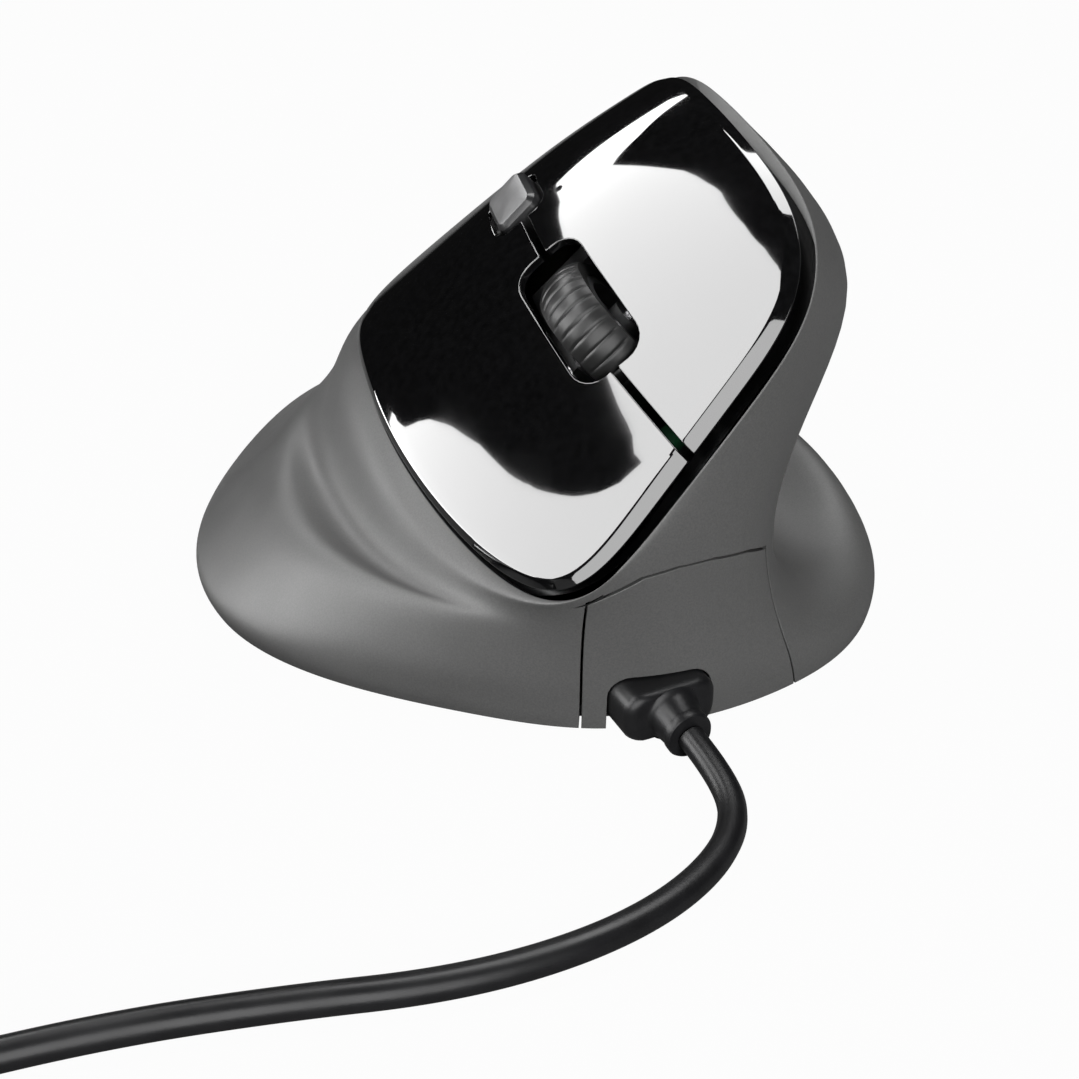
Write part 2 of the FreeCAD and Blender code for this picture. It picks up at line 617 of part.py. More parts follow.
wheel_radius = dim("wheel_diameter") / 2
hub_radius = dim("hub_diameter") / 2
half_width = dim("wheel_width") / 2
axle_radius = dim("axle_diameter") / 2
CROWN_STEPS = 6
tread = []
for k in range(-CROWN_STEPS, CROWN_STEPS + 1):
    across = k / CROWN_STEPS
    tread.append((wheel_radius - dim("wheel_crown") * across ** 2, half_width * across))
revolved_body("wheel_tyre", [(hub_radius + 0.02, half_width - 0.3), (hub_radius + 0.02, 0.3 - half_width)]
              + tread, axle_frame(0))
WEB = 1.1
revolved_body("wheel_hub", [
    (axle_radius + 0.01, -half_width), (2.6, -half_width), (2.6, -WEB), (hub_radius - 1.2, -WEB),
    (hub_radius - 1.2, 0.4 - half_width), (hub_radius, 0.4 - half_width),
    (hub_radius, half_width - 0.4), (hub_radius - 1.2, half_width - 0.4), (hub_radius - 1.2, WEB),
    (2.6, WEB), (2.6, half_width), (axle_radius + 0.01, half_width)], axle_frame(0))
AXLE_START = -9.4
keep(bound_cylinder("wheel_axle", "dimensions.axle_diameter / 2", "dimensions.axle_length",
                    axle_frame(AXLE_START)), "wheel_axle")

# The cradle carries the axle in two cheeks and presses the middle switch with its bridge.
CHEEK_X = 5.2
CHEEK_THICKNESS = 1.5
CHEEK_BOTTOM = -5.6
CHEEK_TOP = 2.6
BRIDGE_Y = 13.0
bore_radius = axle_radius + dim("axle_clearance")
cheeks = []
for side in (-1, 1):
    x = CHEEK_X if side > 0 else -CHEEK_X - CHEEK_THICKNESS
    cheek = Part.makeBox(CHEEK_THICKNESS, BRIDGE_Y + 6.5, CHEEK_TOP - CHEEK_BOTTOM,
                         Vector(x, -3.5, CHEEK_BOTTOM))
    bore = Part.makeCylinder(bore_radius, 4, Vector(x - 1, 0, 0), Vector(1, 0, 0))
    cheeks.append(cheek.cut(bore))
bridge = Part.makeBox(2 * CHEEK_X + 1, 3, 3.4, Vector(-CHEEK_X - 0.5, BRIDGE_Y, -0.8))
keep_shape("wheel_cradle", bridge.fuse(cheeks), WHEEL_FRAME)

# ---------------------------------------------------------------- button board and what is on it
board_top = dim("board_level") + dim("board_thickness")
BOARD_S = (17.5, 49.0)
BOARD_Y = (-46.0, -3.5)
button_board = Part.makeBox(BOARD_S[1] - BOARD_S[0], BOARD_Y[1] - BOARD_Y[0], dim("board_thickness"),
                            Vector(BOARD_S[0], BOARD_Y[0], dim("board_level")))
wheel_window = plate_block(WHEEL_S, WHEEL_Y, dim("wheel_width") + 2.0, dim("wheel_diameter"), 0, 40, 1.0)
keep_shape("button_board", button_board.cut(wheel_window), TILTED)

for name, (s, y) in SWITCH_PLACES.items():
    case = bound_box(name + "_switch_case",
                     ("dimensions.switch_width", "dimensions.switch_length", "dimensions.switch_height"),
                     on_plate(s, y, board_top))
    plunger = bound_box(name + "_switch_plunger",
                        ("dimensions.switch_width / 2", "1.4", "dimensions.plunger_height + 1"),
                        on_plate(s, y, board_top + dim("switch_height") - 1))
    joined(name + "_switch", [case, plunger])


def tact_switch(label, frame):
    """A small square push switch with a round plunger."""
    case = bound_box(label + "_case",
                     ("dimensions.tact_size", "dimensions.tact_size", "dimensions.tact_height - 0.8"), frame)
    plunger = bound_cylinder(label + "_plunger", "dimensions.tact_size / 4", "dimensions.tact_height", frame)
    return joined(label, [case, plunger])


tact_switch("middle_switch",
            WHEEL_FRAME.multiply(Placement(Vector(0, BRIDGE_Y + 1.5, board_top - wheel_h), Rotation())))
tact_switch("dpi_switch", on_plate(DPI_S, DPI_Y, board_top))

ENCODER_X = -10.8
encoder = bound_box("encoder_case", ("3.6", "9.0", "9.0"),
                    WHEEL_FRAME.multiply(Placement(Vector(ENCODER_X, -4.5, board_top - wheel_h), Rotation())),
                    centred=False)
encoder_bore = bound_cylinder("encoder_bore", "dimensions.axle_diameter / 2 + dimensions.press_travel + 0.3",
                              "10", axle_frame(ENCODER_X - 2))
keep(cut_from("wheel_encoder", encoder, encoder_bore), "wheel_encoder")

# The board stands on two sloping walls joined by a foot bar.
wall_low = TILTED.multVec(Vector(18, 0, dim("board_level") - 0.02))
wall_high = TILTED.multVec(Vector(48.5, 0, dim("board_level") - 0.02))
WALL_OUTLINE = [(wall_low.x, wall_low.z), (wall_high.x, wall_high.z), (18.5, 42), (17, 20), (17, base_top),
                (6, base_top), (6, 20)]
walls = []
for y in (-46.0, -5.5):
    walls.append(prism([Vector(x, y, z) for x, z in WALL_OUTLINE], Vector(0, 2, 0)))
foot_bar = Part.makeBox(9, 42, 2.4, Vector(7, -46, base_top))
keep_shape("board_stand", foot_bar.fuse(walls))

# ---------------------------------------------------------------- thumb switches
side_board_y = (THUMB_BUTTONS[0][1] + 1, THUMB_BUTTONS[1][2] - 1)
keep_shape("side_board", Part.makeBox(dim("board_thickness"), side_board_y[1] - side_board_y[0], 12.0,
                                      Vector(SIDE_BOARD_X, side_board_y[0], 42.0)))
for label, y_from, y_to, z_middle in THUMB_BUTTONS:
    frame = along_x(side_board_face, (y_from + y_to) / 2, z_middle)
    name = label.replace("_button", "_switch")
    case = bound_box(name + "_case", ("dimensions.tact_size", "dimensions.tact_size", "1.9"), frame)
    plunger = bound_cylinder(name + "_plunger", "1.4", str(side_tact_height), frame)
    joined(name, [case, plunger])

# ---------------------------------------------------------------- main board and what is on it
main_top = dim("main_board_level") + dim("board_thickness")
main_board = Part.makeBox(
    dim("main_board_width"), dim("main_board_length"), dim("board_thickness"),
    Vector(MAIN_BOARD_X - dim("main_board_width") / 2, MAIN_BOARD_Y - dim("main_board_length") / 2,
           dim("main_board_level")))
for x, y in STANDOFFS:
    main_board = main_board.cut(Part.makeCylinder(1.1, 4, Vector(x, y, 6)))
main_board = main_board.cut(Part.makeCylinder(3.2, 4, Vector(SENSOR_X, SENSOR_Y, 6)))
keep_shape("main_board", main_board)
keep_shape("board_screws", Part.makeCompound([
    Part.makeCylinder(2.0, 1.2, Vector(x, y, main_top)).fuse(
        Part.makeCylinder(1.0, 2.0, Vector(x, y, main_top - 1.5))) for x, y in STANDOFFS]))

sensor_frame = Placement(Vector(SENSOR_X, SENSOR_Y, main_top), Rotation())
keep(bound_box("optical_sensor", ("9.8", "12.8", "3.4"), sensor_frame), "optical_sensor")
lens_flange = Part.makeBox(13, 17, 1.4, Vector(SENSOR_X - 6.5, SENSOR_Y - 8.5, base_top))
lens_barrel = Part.makeCylinder(3.0, main_top - base_top - 0.3, Vector(SENSOR_X, SENSOR_Y, base_top))
lens_window = Part.makeCylinder(4.6, 1.0, Vector(SENSOR_X, SENSOR_Y, base_top - 1.0))
keep_shape("sensor_lens", lens_flange.fuse([lens_barrel, lens_window]))
keep(bound_box("controller_chip", ("7.0", "7.0", "1.2"),
               Placement(Vector(-10, 12, main_top), Rotation())), "controller_chip")
keep(bound_box("cord_connector", ("9.0", "5.0", "5.4"),
               Placement(Vector(-10, -31.5, main_top), Rotation())), "cord_connector")

# The ribbon between the boards, drawn as a bent strip seen along y.
RIBBON = [Vector(-1.5, 0, main_top + 0.1), Vector(-6.5, 0, 11.0), Vector(-7.5, 0, 16.0),
          Vector(-5.2, 0, 20.5), Vector(-1.2, 0, 24.2)]
RIBBON_THICKNESS = 0.6
ribbon_back = []
for k, point in enumerate(RIBBON):
    run = (RIBBON[min(k + 1, len(RIBBON) - 1)] - RIBBON[max(k - 1, 0)]).normalize()
    ribbon_back.append(point + Vector(run.z, 0, -run.x) * RIBBON_THICKNESS)
ribbon = prism(RIBBON + ribbon_back[::-1], Vector(0, 12, 0))
keep_shape("ribbon_cable", ribbon, Placement(Vector(0, -24, 0), Rotation()))

# ---------------------------------------------------------------- cord, from the boot to the plug
EXIT = Vector(NOTCH_X, -65.7, 3.9)
boot_root_y = -61.3
boot_end_y = -51.2
boot = notch_block(-0.25, boot_root_y, -57.2, 1.0)
neck = notch_block(-0.25, -57.3, boot_end_y, base_top + 0.05)
collar_width = dim("notch_width") + 2
collar = Part.makeBox(collar_width, 1.4, 6.4,
                      Vector(NOTCH_X - collar_width / 2, boot_end_y - 1.4, base_top + 0.05))
root_circle = Part.Wire([Part.makeCircle(3.3, Vector(NOTCH_X, boot_root_y + 0.2, 4.6), Vector(0, -1, 0))])
tip_circle = Part.Wire([Part.makeCircle(dim("boot_tip") / 2, EXIT, Vector(0, -1, 0))])
taper = Part.makeLoft([root_circle, tip_circle], True)
keep_shape("strain_relief", boot.fuse([neck, collar, taper]))

LEAD_START = Vector(NOTCH_X, boot_end_y + 0.3, 6.2)
LEAD_END = Vector(-8.0, -34.1, 11.2)
lead = LEAD_END - LEAD_START
keep_shape("wire_lead", Part.makeCylinder(1.3, lead.Length, LEAD_START, lead))


def cord_tube(points, radius):
    """A tube of straight runs, each corner rounded by an arc that touches both of its runs."""
    pieces = []
    start = points[0]
    for before, corner, after in zip(points, points[1:], points[2:]):
        back = before - corner
        ahead = after - corner
        shorter = min(back.Length, ahead.Length)
        half_turn = (math.pi - back.getAngle(ahead)) / 2
        reach = 0.45 * shorter
        bend = reach / math.tan(half_turn)
        enter = corner + back.normalize() * reach
        leave = corner + ahead.normalize() * reach
        inward = (enter + leave) * 0.5 - corner
        middle = corner + inward.normalize() * (bend / math.cos(half_turn) - bend)
        pieces.append(Part.makeLine(start, enter))
        pieces.append(Part.Arc(enter, middle, leave).toShape())
        start = leave
        print("corner radius %.1f" % bend)
    pieces.append(Part.makeLine(start, points[-1]))
    spine = Part.Wire(pieces)
    profile = Part.Wire([Part.makeCircle(radius, points[0], points[1] - points[0])])
    tube = spine.makePipeShell([profile], True, False)
    print("cord run %.1f mm, tube %.0f mm3 against %.0f" % (
        spine.Length, tube.Volume, spine.Length * math.pi * radius ** 2))
    return tube


cord_radius = dim("cord_diameter") / 2
FLOOR = cord_radius + 0.05
COIL_MIDDLE = Vector(-117, -52, 0)
COIL_COLUMNS = 3
COIL_LAYERS = 4
coil_outer = dim("coil_radius") + (COIL_COLUMNS - 1) / 2 * dim("cord_diameter")
CORD_ROUTE = [
    EXIT, Vector(-0.5, -72.2, 2.7), Vector(-2.2, -78.6, FLOOR), Vector(-8.2, -84, FLOOR),
    Vector(-17.5, -87.6, FLOOR), Vector(-29, -88.7, FLOOR), Vector(-42, -87.2, FLOOR),
    Vector(-57, -82.6, FLOOR), Vector(-73, -78.6, FLOOR), Vector(-90, -76.4, FLOOR),
    Vector(-104, -74.8, FLOOR), Vector(-113, -74.6, FLOOR),
]
keep_shape("cord", cord_tube(CORD_ROUTE, cord_radius))

half_bundle = COIL_COLUMNS / 2 * dim("cord_diameter")
coil_height = COIL_LAYERS * dim("cord_diameter")
ring = Part.makeCylinder(dim("coil_radius") + half_bundle, coil_height, COIL_MIDDLE).cut(
    Part.makeCylinder(dim("coil_radius") - half_bundle, coil_height, COIL_MIDDLE))
ring = ring.makeFillet(1.6, [edge for edge in ring.Edges if edge.Closed])
keep_shape("cord_coil", ring)

TIE_WIDTH = 5.0
TIE_THICKNESS = 0.8
tie_outer = Part.makeBox(2 * half_bundle + 2 * TIE_THICKNESS, TIE_WIDTH, coil_height + TIE_THICKNESS - 0.05,
                         Vector(-half_bundle - TIE_THICKNESS, -TIE_WIDTH / 2, 0.05))
tie_inner = Part.makeBox(2 * half_bundle, TIE_WIDTH + 2, coil_height - 0.6,
                         Vector(-half_bundle, -TIE_WIDTH / 2 - 1, 0.6))
tie_turn = 35.0
tie_frame = Placement(COIL_MIDDLE, Rotation(UP, tie_turn)).multiply(
    Placement(Vector(dim("coil_radius"), 0, 0), Rotation()))
keep_shape("cord_tie", tie_outer.cut(tie_inner), tie_frame)

PLUG_BACK = Vector(-126, -19.4, 4.05)
tail_top = coil_height - cord_radius
TAIL_ROUTE = [
    Vector(COIL_MIDDLE.x - coil_outer, -50, tail_top), Vector(-139.8, -40.5, 10.2),
    Vector(-139.4, -31.6, 5.9), Vector(-136.4, -23.6, 4.1), Vector(-130.5, -19.9, 4.0), PLUG_BACK,
]
keep_shape("cord_tail", cord_tube(TAIL_ROUTE, cord_radius))

plug_frame = Placement(PLUG_BACK, Rotation(Vector(0, 1, 0), 90))
sleeve_length = 8.0
sleeve = Part.makeCone(2.6, 3.4, sleeve_length)
grip = Part.makeBox(dim("plug_depth"), dim("plug_width"), dim("plug_length"),
                    Vector(-dim("plug_depth") / 2, -dim("plug_width") / 2, sleeve_length - 0.5))
grip = grip.makeFillet(1.8, grip.Edges)
keep_shape("plug_grip", sleeve.fuse(grip), plug_frame)
shell_start = sleeve_length + dim("plug_length") - 0.5
usb = Part.makeBox(dim("usb_depth"), dim("usb_width"), dim("usb_length"),
                   Vector(-dim("usb_depth") / 2, -dim("usb_width") / 2, shell_start))
usb_hollow = Part.makeBox(dim("usb_depth") - 0.6, dim("usb_width") - 0.6, dim("usb_length"),
                          Vector(0.3 - dim("usb_depth") / 2, 0.3 - dim("usb_width") / 2, shell_start + 0.5))
keep_shape("plug_shell", usb.cut(usb_hollow), plug_frame)
contacts = Part.makeBox(1.8, dim("usb_width") - 0.8, dim("usb_length") - 1.5,
                        Vector(0.1, 0.4 - dim("usb_width") / 2, shell_start + 0.5))
keep_shape("plug_contacts", contacts, plug_frame)

# ---------------------------------------------------------------- checks and export
doc.recompute()
for item in doc.Objects:
    if "Invalid" in item.State or "Error" in item.State:
        raise RuntimeError("%s did not build" % item.Label)
os.makedirs("parts", exist_ok=True)
for item in nodes:
    if item.Shape.isNull() or not item.Shape.isValid():
        raise RuntimeError("%s has no valid shape" % item.Label)
    item.Shape.exportStep("parts/%s.step" % item.Label)
    box = item.Shape.BoundBox
    print("%-16s solids %d volume %9.1f  x %.1f %.1f  y %.1f %.1f  z %.1f %.1f" % (
        item.Label, len(item.Shape.Solids), item.Shape.Volume,
        box.XMin, box.XMax, box.YMin, box.YMax, box.ZMin, box.ZMax))
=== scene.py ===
import math

import bpy
import numpy as np
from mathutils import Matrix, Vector
from mathutils.geometry import delaunay_2d_cdt


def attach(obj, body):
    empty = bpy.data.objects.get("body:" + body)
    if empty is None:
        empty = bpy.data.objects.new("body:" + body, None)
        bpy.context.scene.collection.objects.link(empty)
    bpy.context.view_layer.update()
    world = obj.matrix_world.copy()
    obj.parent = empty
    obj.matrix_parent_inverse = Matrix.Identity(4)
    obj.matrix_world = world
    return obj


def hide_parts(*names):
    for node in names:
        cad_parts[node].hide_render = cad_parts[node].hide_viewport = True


# Upright computer mouse for the right hand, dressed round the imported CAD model.
# Shapes are worked out in millimetres in the CAD's own frames and turned into metres when a mesh is made.
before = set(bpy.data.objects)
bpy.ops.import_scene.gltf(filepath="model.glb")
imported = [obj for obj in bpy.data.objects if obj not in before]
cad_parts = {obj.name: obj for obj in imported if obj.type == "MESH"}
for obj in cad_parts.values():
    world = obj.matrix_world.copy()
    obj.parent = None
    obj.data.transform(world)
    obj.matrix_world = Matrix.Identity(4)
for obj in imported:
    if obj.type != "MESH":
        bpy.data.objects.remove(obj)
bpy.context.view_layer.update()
scene = bpy.context.scene
scene.view_settings.view_transform = "Standard"

MM = 0.001
CENTRED = np.array([-1.2, 5.1, 0.0])


def metres(points):
    """Points of the drawing, in millimetres, as points of the shared frame."""
    return (np.asarray(points, float) + CENTRED) * MM


def new_object(name, data):
    made = bpy.data.objects.new(name, data)
    scene.collection.objects.link(made)
    return made


def face(thing, way):
    thing.rotation_mode = "QUATERNION"
    thing.rotation_quaternion = way.to_track_quat("-Z", "Y")


# ---------------- camera
VIEW_AZIMUTH = math.radians(-25)
VIEW_ELEVATION = math.radians(30)
EYE = (-72.7, -175.8, 107.0)
SENSOR_WIDTH = 36.0
LENS = 44.67
CLIP_START, CLIP_END = 0.005, 20

camera = new_object("camera", bpy.data.cameras.new("camera"))
camera.data.sensor_width = SENSOR_WIDTH
camera.data.lens = LENS
camera.data.clip_start = CLIP_START
camera.data.clip_end = CLIP_END
back = Vector((math.sin(VIEW_AZIMUTH) * math.cos(VIEW_ELEVATION),
               -math.cos(VIEW_AZIMUTH) * math.cos(VIEW_ELEVATION), math.sin(VIEW_ELEVATION)))
camera.location = metres(EYE)
face(camera, -back)
scene.camera = camera


# ---------------- materials
# Most of a noise's values lie between these two.
NOISE_LOW, NOISE_HIGH = 0.3, 0.7
# Relief depths, in metres.
GRAIN_DEPTH = 0.00003
LINE_DEPTH = 0.00002
SLIGHT_DEPTH = 0.00001


MATERIALS = {}


def add_node(tree, kind):
    return tree.nodes.new("ShaderNode" + kind)


def put(node, name, value):
    node.inputs[name].default_value = value


def grey(level):
    return (level, level, level)


def new_material(name, colour, roughness, metallic=0.0):
    """The node tree and Principled shader of a new material."""
    material = MATERIALS[name] = bpy.data.materials.new(name)
    material.use_nodes = True
    shader = material.node_tree.nodes["Principled BSDF"]
    put(shader, "Base Color", (*colour, 1))
    put(shader, "Roughness", roughness)
    put(shader, "Metallic", metallic)
    return material.node_tree, shader


def add_noise(tree, scale, detail=2.0, stretch=(1, 1, 1)):
    """Noise at a real size, scale bumps to the metre."""
    mapping = add_node(tree, "Mapping")
    put(mapping, "Scale", stretch)
    noise = add_node(tree, "TexNoise")
    put(noise, "Scale", scale)
    put(noise, "Detail", detail)
    tree.links.new(add_node(tree, "TexCoord").outputs["Object"], mapping.inputs["Vector"])
    tree.links.new(mapping.outputs["Vector"], noise.inputs["Vector"])
    return noise.outputs["Fac"]


def vary(tree, shader, factor, low, high):
    """Roughness between two numbers, driven by a texture."""
    span = add_node(tree, "MapRange")
    for name, value in (("From Min", NOISE_LOW), ("From Max", NOISE_HIGH), ("To Min", low), ("To Max", high)):
        put(span, name, value)
    tree.links.new(factor, span.inputs["Value"])
    tree.links.new(span.outputs["Result"], shader.inputs["Roughness"])


def tint(tree, shader, factor, low, high, name="Base Color"):
    """Colour between two colours, driven by a texture."""
    ramp = add_node(tree, "ValToRGB")
    for stop, position, colour in zip(ramp.color_ramp.elements, (NOISE_LOW, NOISE_HIGH), (low, high)):
        stop.position = position
        stop.color = (*colour, 1)
    tree.links.new(factor, ramp.inputs["Fac"])
    tree.links.new(ramp.outputs["Color"], shader.inputs[name])


def bump(tree, shader, height, strength, depth):
    """Surface relief, depth in metres."""
    node = add_node(tree, "Bump")
    put(node, "Strength", strength)
    put(node, "Distance", depth)
    tree.links.new(height, node.inputs["Height"])
    tree.links.new(node.outputs["Normal"], shader.inputs["Normal"])


def textured(name, colour, roughness, shades, sheen, relief=None, extra=()):
    """A material whose colour, roughness and relief follow noises.

    shades and sheen are (scale, detail, low, high), and relief is (scale, strength, depth).
    """
    tree, shader = new_material(name, colour, roughness)
    for socket, value in extra:
        put(shader, socket, value)
    tint(tree, shader, add_noise(tree, *shades[:2]), *shades[2:])
    vary(tree, shader, add_noise(tree, *sheen[:2]), *sheen[2:])
    if relief:
        bump(tree, shader, add_noise(tree, relief[0]), *relief[1:])


def gloss_black(name, level):
    """Black moulding with a clear, mirror-like top coat."""
    shades = (900, 2, (level * 0.7, level * 0.7, level * 0.75), (level * 1.4, level * 1.4, level * 1.5))
    textured(name, (level, level, level * 1.1), 0.04, shades, (90, 4, 0.025, 0.075),
             extra=[("Coat Weight", 1.0), ("Coat Roughness", 0.015)])


def moulded(name, colour, roughness, depth=GRAIN_DEPTH, shine=0.5):
    """Plain moulded plastic or rubber with a fine grain."""
    dark, light = [[channel * share for channel in colour] for share in (0.8, 1.2)]
    textured(name, colour, roughness, (300, 4, dark, light),
             (120, 3, roughness * 0.85, min(roughness * 1.15, 1)), (2600, 0.4, depth),
             [("Specular IOR Level", shine)])


def brushed(name, colour):
    """Bright metal with fine drawn lines."""
    tree, shader = new_material(name, colour, 0.28, 1.0)
    lines = add_noise(tree, 900, 3, (0.06, 1, 1))
    vary(tree, shader, lines, 0.2, 0.38)
    tint(tree, shader, lines, [channel * 0.85 for channel in colour],
         [min(channel * 1.1, 1) for channel in colour])
    bump(tree, shader, lines, 0.25, LINE_DEPTH)


def circuit_board():
    """Green lacquer over faint copper tracks."""
    tree, shader = new_material("circuit_board", (0.004, 0.03, 0.012), 0.35)
    tracks = add_node(tree, "TexVoronoi")
    tracks.distance = "CHEBYCHEV"
    put(tracks, "Scale", 260)
    tree.links.new(add_node(tree, "TexCoord").outputs["Object"], tracks.inputs["Vector"])
    tint(tree, shader, tracks.outputs["Distance"], (0.003, 0.022, 0.009), (0.006, 0.04, 0.016))
    bump(tree, shader, tracks.outputs["Distance"], 0.3, GRAIN_DEPTH)


def clear_lens():
    tree, shader = new_material("clear_lens", (0.92, 0.94, 0.95), 0.05)
    put(shader, "Transmission Weight", 0.9)
    put(shader, "IOR", 1.49)
    vary(tree, shader, add_noise(tree, 200, 3), 0.03, 0.09)


# The soft-touch coat has a fine grain and faint handling marks.
textured("soft_touch", grey(0.05), 0.5, (4200, 2, grey(0.044), (0.06, 0.06, 0.059)), (60, 4, 0.44, 0.56),
         (5200, 0.3, GRAIN_DEPTH))
gloss_black("gloss_black", 0.0025)
moulded("satin_grey", (0.13, 0.13, 0.132), 0.4, SLIGHT_DEPTH)
gloss_black("thumb_keys", 0.005)
moulded("wheel_rubber", grey(0.008), 0.36, SLIGHT_DEPTH, 0.35)
moulded("black_plastic", (0.02, 0.02, 0.021), 0.5)
# Near-black for the DPI cap's sides: painted shade, darker than the cap's grey top.
moulded("dpi_side_painted_shade", (0.008, 0.008, 0.0085), 0.3, SLIGHT_DEPTH)
# Extra-dark black for the ledge in the gap round the buttons: painted shade in the recess.
moulded("recess_painted_shade", (0.004, 0.004, 0.0045), 0.45)
brushed("steel", (0.55, 0.55, 0.56))
moulded("glide", (0.04, 0.04, 0.042), 0.35)
circuit_board()
moulded("chip_black", (0.012, 0.012, 0.013), 0.55)
moulded("switch_case", (0.03, 0.03, 0.035), 0.4)
clear_lens()
moulded("connector_white", (0.72, 0.71, 0.67), 0.4)
moulded("ribbon_grey", (0.34, 0.34, 0.35), 0.35)
moulded("cord_black", (0.005, 0.005, 0.0055), 0.36, shine=0.3)
brushed("plug_steel", (0.62, 0.62, 0.63))
moulded("plug_tongue", (0.78, 0.78, 0.75), 0.4)

# ---------------- cord
CORD_DIAMETER = 3.5
FLOOR = CORD_DIAMETER / 2 + 0.05
BOOT_EXIT = (-0.9, -65.7, 3.9)
CORD_ROUTE = [
    BOOT_EXIT, (-0.5, -72.2, 2.7), (-2.2, -78.6, FLOOR), (-8.2, -84, FLOOR), (-17.5, -87.6, FLOOR),
    (-29, -88.7, FLOOR), (-42, -87.2, FLOOR), (-57, -82.6, FLOOR), (-73, -78.6, FLOOR),
    (-90, -76.2, FLOOR), (-104, -74.6, FLOOR),
]
COIL_MIDDLE = (-117.0, -52.0)
COIL_RADIUS = 19.0
# Column, from the innermost out, and layer, from the floor up, of each turn of the coil.
TURNS = [2, 1, 0, 0, 1, 2, 2, 1, 0, 1, 2]
LAYERS = [0, 0, 0, 1, 1, 1, 2, 2, 2, 3, 3]
POINTS_PER_TURN = 16
LAST_TURN = 0.25
# Share of a turn in which the cord crosses to its next place.
CROSSING = 0.16
TAIL_ROUTE = [
    (-139.2, -46, 11.6), (-139.6, -40.5, 10.2), (-139.4, -31.6, 5.9), (-136.4, -23.6, 4.1),
    (-130.5, -19.9, 4.0), (-125.5, -19.4, 4.05),
]


def coil_points():
    """The turns of the stored cord, from the bottom outer one up."""
    swell = 1 / (0.75 + 0.25 * math.cos(2 * math.pi / POINTS_PER_TURN))
    points = []
    for k in range(int((len(TURNS) + LAST_TURN) * POINTS_PER_TURN) + 1):
        turns = k / POINTS_PER_TURN
        whole = min(int(turns), len(TURNS) - 1)
        after = min(whole + 1, len(TURNS) - 1)
        share = np.clip((turns - whole - 1 + CROSSING) / CROSSING, 0, 1)
        share = share * share * (3 - 2 * share)
        column = TURNS[whole] + (TURNS[after] - TURNS[whole]) * share - 1
        layer = LAYERS[whole] + (LAYERS[after] - LAYERS[whole]) * share
        radius = (COIL_RADIUS + column * CORD_DIAMETER) * swell
        angle = -math.pi / 2 - 2 * math.pi * turns
        points.append((COIL_MIDDLE[0] + radius * math.cos(angle), COIL_MIDDLE[1] + radius * math.sin(angle),
                       FLOOR + layer * CORD_DIAMETER))
    return points


curve = bpy.data.curves.new("cord_sheath", "CURVE")
curve.dimensions = "3D"
curve.bevel_depth = CORD_DIAMETER / 2 * MM
curve.bevel_resolution = 6
curve.resolution_u = 12
spline = curve.splines.new("NURBS")
route = [*CORD_ROUTE, *coil_points(), *TAIL_ROUTE]
spline.points.add(len(route) - 1)
for point, place in zip(spline.points, metres(route)):
    point.co = (*place, 1)
spline.order_u = 3
spline.use_endpoint_u = True
curve.materials.append(MATERIALS["cord_black"])
cord = new_object("cord_sheath", curve)
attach(cord, "casing")
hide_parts("cord", "cord_coil", "cord_tail")


# ---------------- smooth surfaces
def cubic(share):
    return np.stack([(1 - share) ** 3, 3 * share ** 3 - 6 * share ** 2 + 4,
                     -3 * share ** 3 + 3 * share ** 2 + 3 * share + 1, share ** 3], -1) / 6


def open_weights(count, place):
    """How much each control point of a run with free ends counts at a place from 0 to count - 1."""
    place = np.asarray(place, float)
    cell = np.clip(np.floor(place).astype(int), 0, count - 2)
    blend = cubic(place - cell)
    weights = np.zeros((len(place), count + 2))
    for k in range(4):
        weights[np.arange(len(place)), cell + k] += blend[:, k]
    weights[:, 1] += 2 * weights[:, 0]
    weights[:, 2] -= weights[:, 0]
    weights[:, -2] += 2 * weights[:, -1]
    weights[:, -3] -= weights[:, -1]
    return weights[:, 1:-1]


def ring_weights(count, place):
    place = np.asarray(place, float)
    cell = np.floor(place).astype(int)
    blend = cubic(place - cell)
    weights = np.zeros((len(place), count))
    for k in range(4):
        weights[np.arange(len(place)), (cell + k - 1) % count] += blend[:, k]
    return weights


# The button plate's own frame: s runs up across it, y is the mouse's, and h stands square to it.
TILT = math.radians(48.6)
ACROSS = np.array([math.cos(TILT), 0, math.sin(TILT)])
ALONG = np.array([0.0, 1.0, 0.0])
OUT = np.array([-math.sin(TILT), 0, math.cos(TILT)])


def from_plate(s, y, h):
    return np.outer(s, ACROSS) + np.outer(y, ALONG) + np.outer(h, OUT)


# Heights h of the crowned plate's control points: one row for each y, one column for each s.
CROWN_S = [-4, 6, 20, 36, 52, 64, 76]
CROWN_ROWS = [
    (-66, [17.5, 18.5, 19.0, 19.3, 19.3, 18.5, 16.5]),
    (-56, [22.8, 23.8, 24.3, 24.4, 24.2, 22.8, 20.0]),
    (-46, [26.5, 28.0, 28.9, 29.0, 28.4, 26.5, 23.5]),
    (-34, [30.0, 31.8, 32.8, 33.0, 32.0, 29.6, 26.0]),
    (-22, [32.5, 34.6, 35.8, 36.0, 34.8, 31.8, 27.5]),
    (-12, [34.0, 36.2, 37.3, 37.2, 35.2, 31.4, 26.5]),
    (-4, [34.8, 37.0, 37.8, 36.6, 33.3, 28.6, 23.0]),
    (4, [35.0, 37.0, 37.0, 34.2, 29.6, 24.0, 17.5]),
    (14, [34.5, 36.0, 34.3, 29.5, 23.5, 17.0, 10.0]),
    (28, [32.5, 32.5, 28.5, 21.5, 14.0, 7.0, 0.0]),
]
CROWN_Y = [y for y, _ in CROWN_ROWS]
CROWN_NET = np.array([heights for _, heights in CROWN_ROWS])
FINE = 4000


def places_of(values, control):
    """Where along a run of control points its smooth curve reaches these values."""
    steps = np.linspace(0, len(control) - 1, FINE)
    return np.interp(values, open_weights(len(control), steps) @ np.array(control, float), steps)


